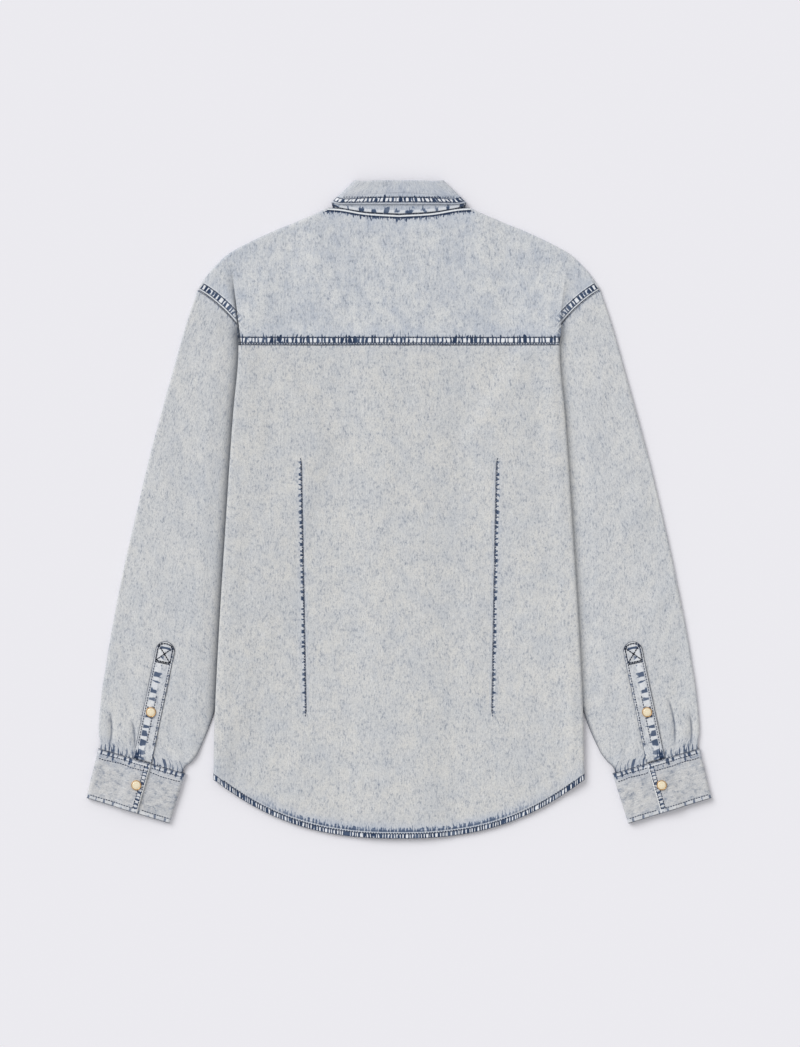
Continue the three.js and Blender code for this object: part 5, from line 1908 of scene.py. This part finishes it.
    def relief(self, shell: Shell, is_upper: Array, in_cuff: Array) -> Array:
        """How far creases, gathers and unevenness move the sleeve's plies.

        Args:
            shell: the sleeve, on its own side.
            is_upper: which columns are on the upper ply.
            in_cuff: how far each row is inside the cuff.

        Returns:
            The relief at each point.
        """
        x, y = shell.points[..., 0], shell.points[..., 1]
        side, seed = self.side.value, 80 + 5 * self.side.value
        wide, distance = shell.seams["cuff"][..., 0], shell.seams["cuff"][..., 1]
        beside = ease((side * x - PLAN.fold(y) - 6) / 14)
        open_part = np.maximum(beside, ease((y - 232) / 20))
        lift = creased(self.creases, x, y)
        lift += 0.5 * uneven(x, y, (26, 44), seed) + 0.26 * uneven(x, y, (11, 17), seed + 1)
        gathers = uneven(wide, 0 * wide, (8.5, 9), seed + 2) * bell(distance, 24)
        lift += 1.2 * gathers + 0.7 * uneven(wide, 0 * wide, (15, 9), seed + 3) * bell(distance, 48)
        strip = SleevePlacket(self.side)
        across = strip.frame()[1]
        off = np.abs((side * x - strip.tip[0]) * across[0] + (y - strip.tip[1]) * across[1])
        pressed = (1 - ease((off - 9) / 8)) * ease((strip.tip[1] + 12 - y) / 12)
        lift *= 1 - 0.85 * pressed
        under = -np.clip(lift, 0, 1.2) * 0.5
        lift = np.where(is_upper[None], lift * open_part, under * open_part)
        return lift * (1 - in_cuff) * ease(shell.seams["armhole"][..., 1] / 6)

    def build(self) -> None:
        """Builds the sleeve."""
        finish_cloth(self.shell(), SLEEVE_CLOTH, "denim", Cut(0.44, 0.575, 0.157))


# ---- snaps ----


@dataclass(frozen=True)
class Snap:
    """A pearl snap: a brass cup with a rolled rim, and a moulded pearl face set in it."""

    name: str
    spot: tuple[float, float, float]
    upward: bool
    radius: float = 6.0
    height: float = 2.2
    steps: int = 48

    def build(self) -> None:
        """Builds the cup and the pearl, facing up, or down with the face on the floor."""
        r = self.radius
        rim = [(r - 0.5 + 0.5 * math.sin(t), 1.25 + 0.55 * math.cos(t)) for t in np.linspace(2.0, -1.6, 10)]
        cup = [(0, 0), (r - 0.5, 0), (r - 0.15, 0.25), *rim, (5.1, 0.9), (5.05, 0.5), (0, 0.5)]
        top = [(4.95 * math.cos(t), 1.3 + 0.9 * math.sin(t)) for t in np.linspace(0, math.pi / 2, 10)]
        pearl = [(0, 0.8), (4.8, 0.8), (4.95, 1.0), *top[:-1], (0, self.height)]
        for part, profile, finish, slot in (
            ("cup", cup, BRASS, "snap_brass"), ("pearl", pearl, PEARL, "snap_pearl"),
        ):
            node = f"{self.name}_{part}"
            piece = revolve(f"{node}_turned", profile, self.steps)
            piece.location = [value * MM for value in self.spot]
            if not self.upward:
                piece.rotation_euler = (math.pi, 0.0, 0.0)
            dress(piece, MATERIALS.of(finish), slot, node)


# ---- the surroundings ----


@dataclass(frozen=True)
class Surroundings:
    """A pale floor, soft light from the upper left, and a camera straight above."""

    floor_colour: str = "F0EFF4"
    floor_reach: float = 30.0
    sky: str = "FFFFFF"
    sky_strength: float = 0.6
    lamp_strength: float = 1.62
    lamp_spread: float = 38.0
    lamp_at: tuple[float, float, float] = (-1.5, 1.3, 1.9)
    distance: float = 4.0
    view_height: float = 1.256
    centre: Pair = (0.0012, -0.0171)

    def floor(self) -> None:
        """Lays the floor."""
        far = self.floor_reach
        corners = [(-far, -far, 0), (far, -far, 0), (far, far, 0), (-far, far, 0)]
        floor = new_object("floor", corners, [[0, 1, 2, 3]])
        material, tree = new_material("matt white painted board")
        shader = add(tree, "BsdfDiffuse", linear(self.floor_colour))
        add(tree, "OutputMaterial", shader)
        floor.data.materials.append(material)

    def light(self) -> None:
        """Sets the sky and the lamp."""
        scene = bpy.context.scene
        world = bpy.data.worlds.new("soft sky")
        world.use_nodes = True
        background = world.node_tree.nodes["Background"]
        background.inputs["Color"].default_value = linear(self.sky)
        background.inputs["Strength"].default_value = self.sky_strength
        scene.world = world
        scene.view_settings.view_transform = "Standard"
        data = bpy.data.lights.new("window", "SUN")
        data.energy, data.angle = self.lamp_strength, math.radians(self.lamp_spread)
        lamp = place(bpy.data.objects.new("window", data))
        lamp.location = self.lamp_at
        aim = Vector((0.0, 0.0, 0.0)) - Vector(self.lamp_at)
        lamp.rotation_euler = aim.to_track_quat("-Z", "Y").to_euler()

    def camera(self) -> None:
        """Sets the camera straight above the shirt."""
        data = bpy.data.cameras.new("above")
        data.sensor_fit, data.sensor_height = "VERTICAL", 24.0
        data.lens = 24.0 * self.distance / self.view_height
        camera = place(bpy.data.objects.new("above", data))
        camera.location = (*self.centre, self.distance)
        bpy.context.scene.camera = camera

    def build(self) -> None:
        """Builds the floor, the light and the camera."""
        self.floor()
        self.light()
        self.camera()


LEFT_CREASES = (
    Crease((-347, -240), (-348, -290), 3.4, -1.8), Crease((-321, -250), (-318, -292), 3.4, -1.7),
    Crease((-332, -262), (-330, -292), 4.0, 0.9), Crease((-300, 60), (-262, -40), 12, 1.0),
    Crease((-318, -60), (-276, -130), 13, 1.2), Crease((-262, -150), (-300, -290), 10, 1.0),
    Crease((-336, -150), (-322, -270), 9, -1.0), Crease((-246, 200), (-228, 120), 9, 0.9),
    Crease((-270, -240), (-262, -306), 7, -0.9),
)
RIGHT_CREASES = (
    Crease((347, -240), (348, -290), 3.4, -1.8), Crease((321, -222), (330, -290), 3.4, -1.8),
    Crease((338, -256), (339, -290), 4.0, 0.9), Crease((296, 40), (258, -60), 12, 1.0),
    Crease((322, -80), (282, -150), 12, 1.1), Crease((258, -160), (292, -296), 11, 1.0),
    Crease((334, -140), (324, -260), 9, -1.0), Crease((248, 190), (232, 110), 9, 0.8),
    Crease((276, -236), (266, -306), 7, -0.9),
)


CUFF_SNAP = (52.4, 29.8)  # from the cuff's inner crease, and from its top edge
PLACKET_SNAP = (297.0, -243.0)
FRONT_SNAPS = (291.0, *(240.0 - 88.0 * n for n in range(6)))
FRONT_SNAP_Z = 2.2
SLEEVE_TOP = 4.9  # the middle of the sleeve's upper layer


def snaps() -> list[Snap]:
    """The snaps of the shirt: one on each cuff and sleeve placket, and seven down the front."""
    found = []
    placket_x, placket_y = PLACKET_SNAP
    for side in Side:
        cuff = Cuff(side)
        x, y = cuff.plan(*np.array(CUFF_SNAP))
        lap_top = cuff.lap + cuff.thickness / 2 + 0.3
        found.append(Snap(f"snap_cuff_{side.word}", (side.value * x, y, lap_top), True))
        placket_top = SLEEVE_TOP + PLAN.cloth + PLAN.seam_gap + PLAN.cloth / 2 + 0.3
        spot = (side.value * placket_x, placket_y, placket_top)
        found.append(Snap(f"snap_sleeve_{side.word}", spot, True))
    found += [Snap(f"snap_front_{n}", (0.0, y, FRONT_SNAP_Z), False) for n, y in enumerate(FRONT_SNAPS)]
    return found


def main() -> None:
    """Builds the shirt's looks over its frame."""
    logging.basicConfig(level=logging.INFO, format="%(name)s: %(message)s")
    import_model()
    Surroundings().build()
    Body().build()
    Yoke().build()
    Collar().build()
    for side, creases in ((Side.LEFT, LEFT_CREASES), (Side.RIGHT, RIGHT_CREASES)):
        Sleeve(side, creases).build()
        Cuff(side).build()
        SleevePlacket(side).build()
    for snap in snaps():
        snap.build()
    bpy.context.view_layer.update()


if __name__ == "__main__":
    main()
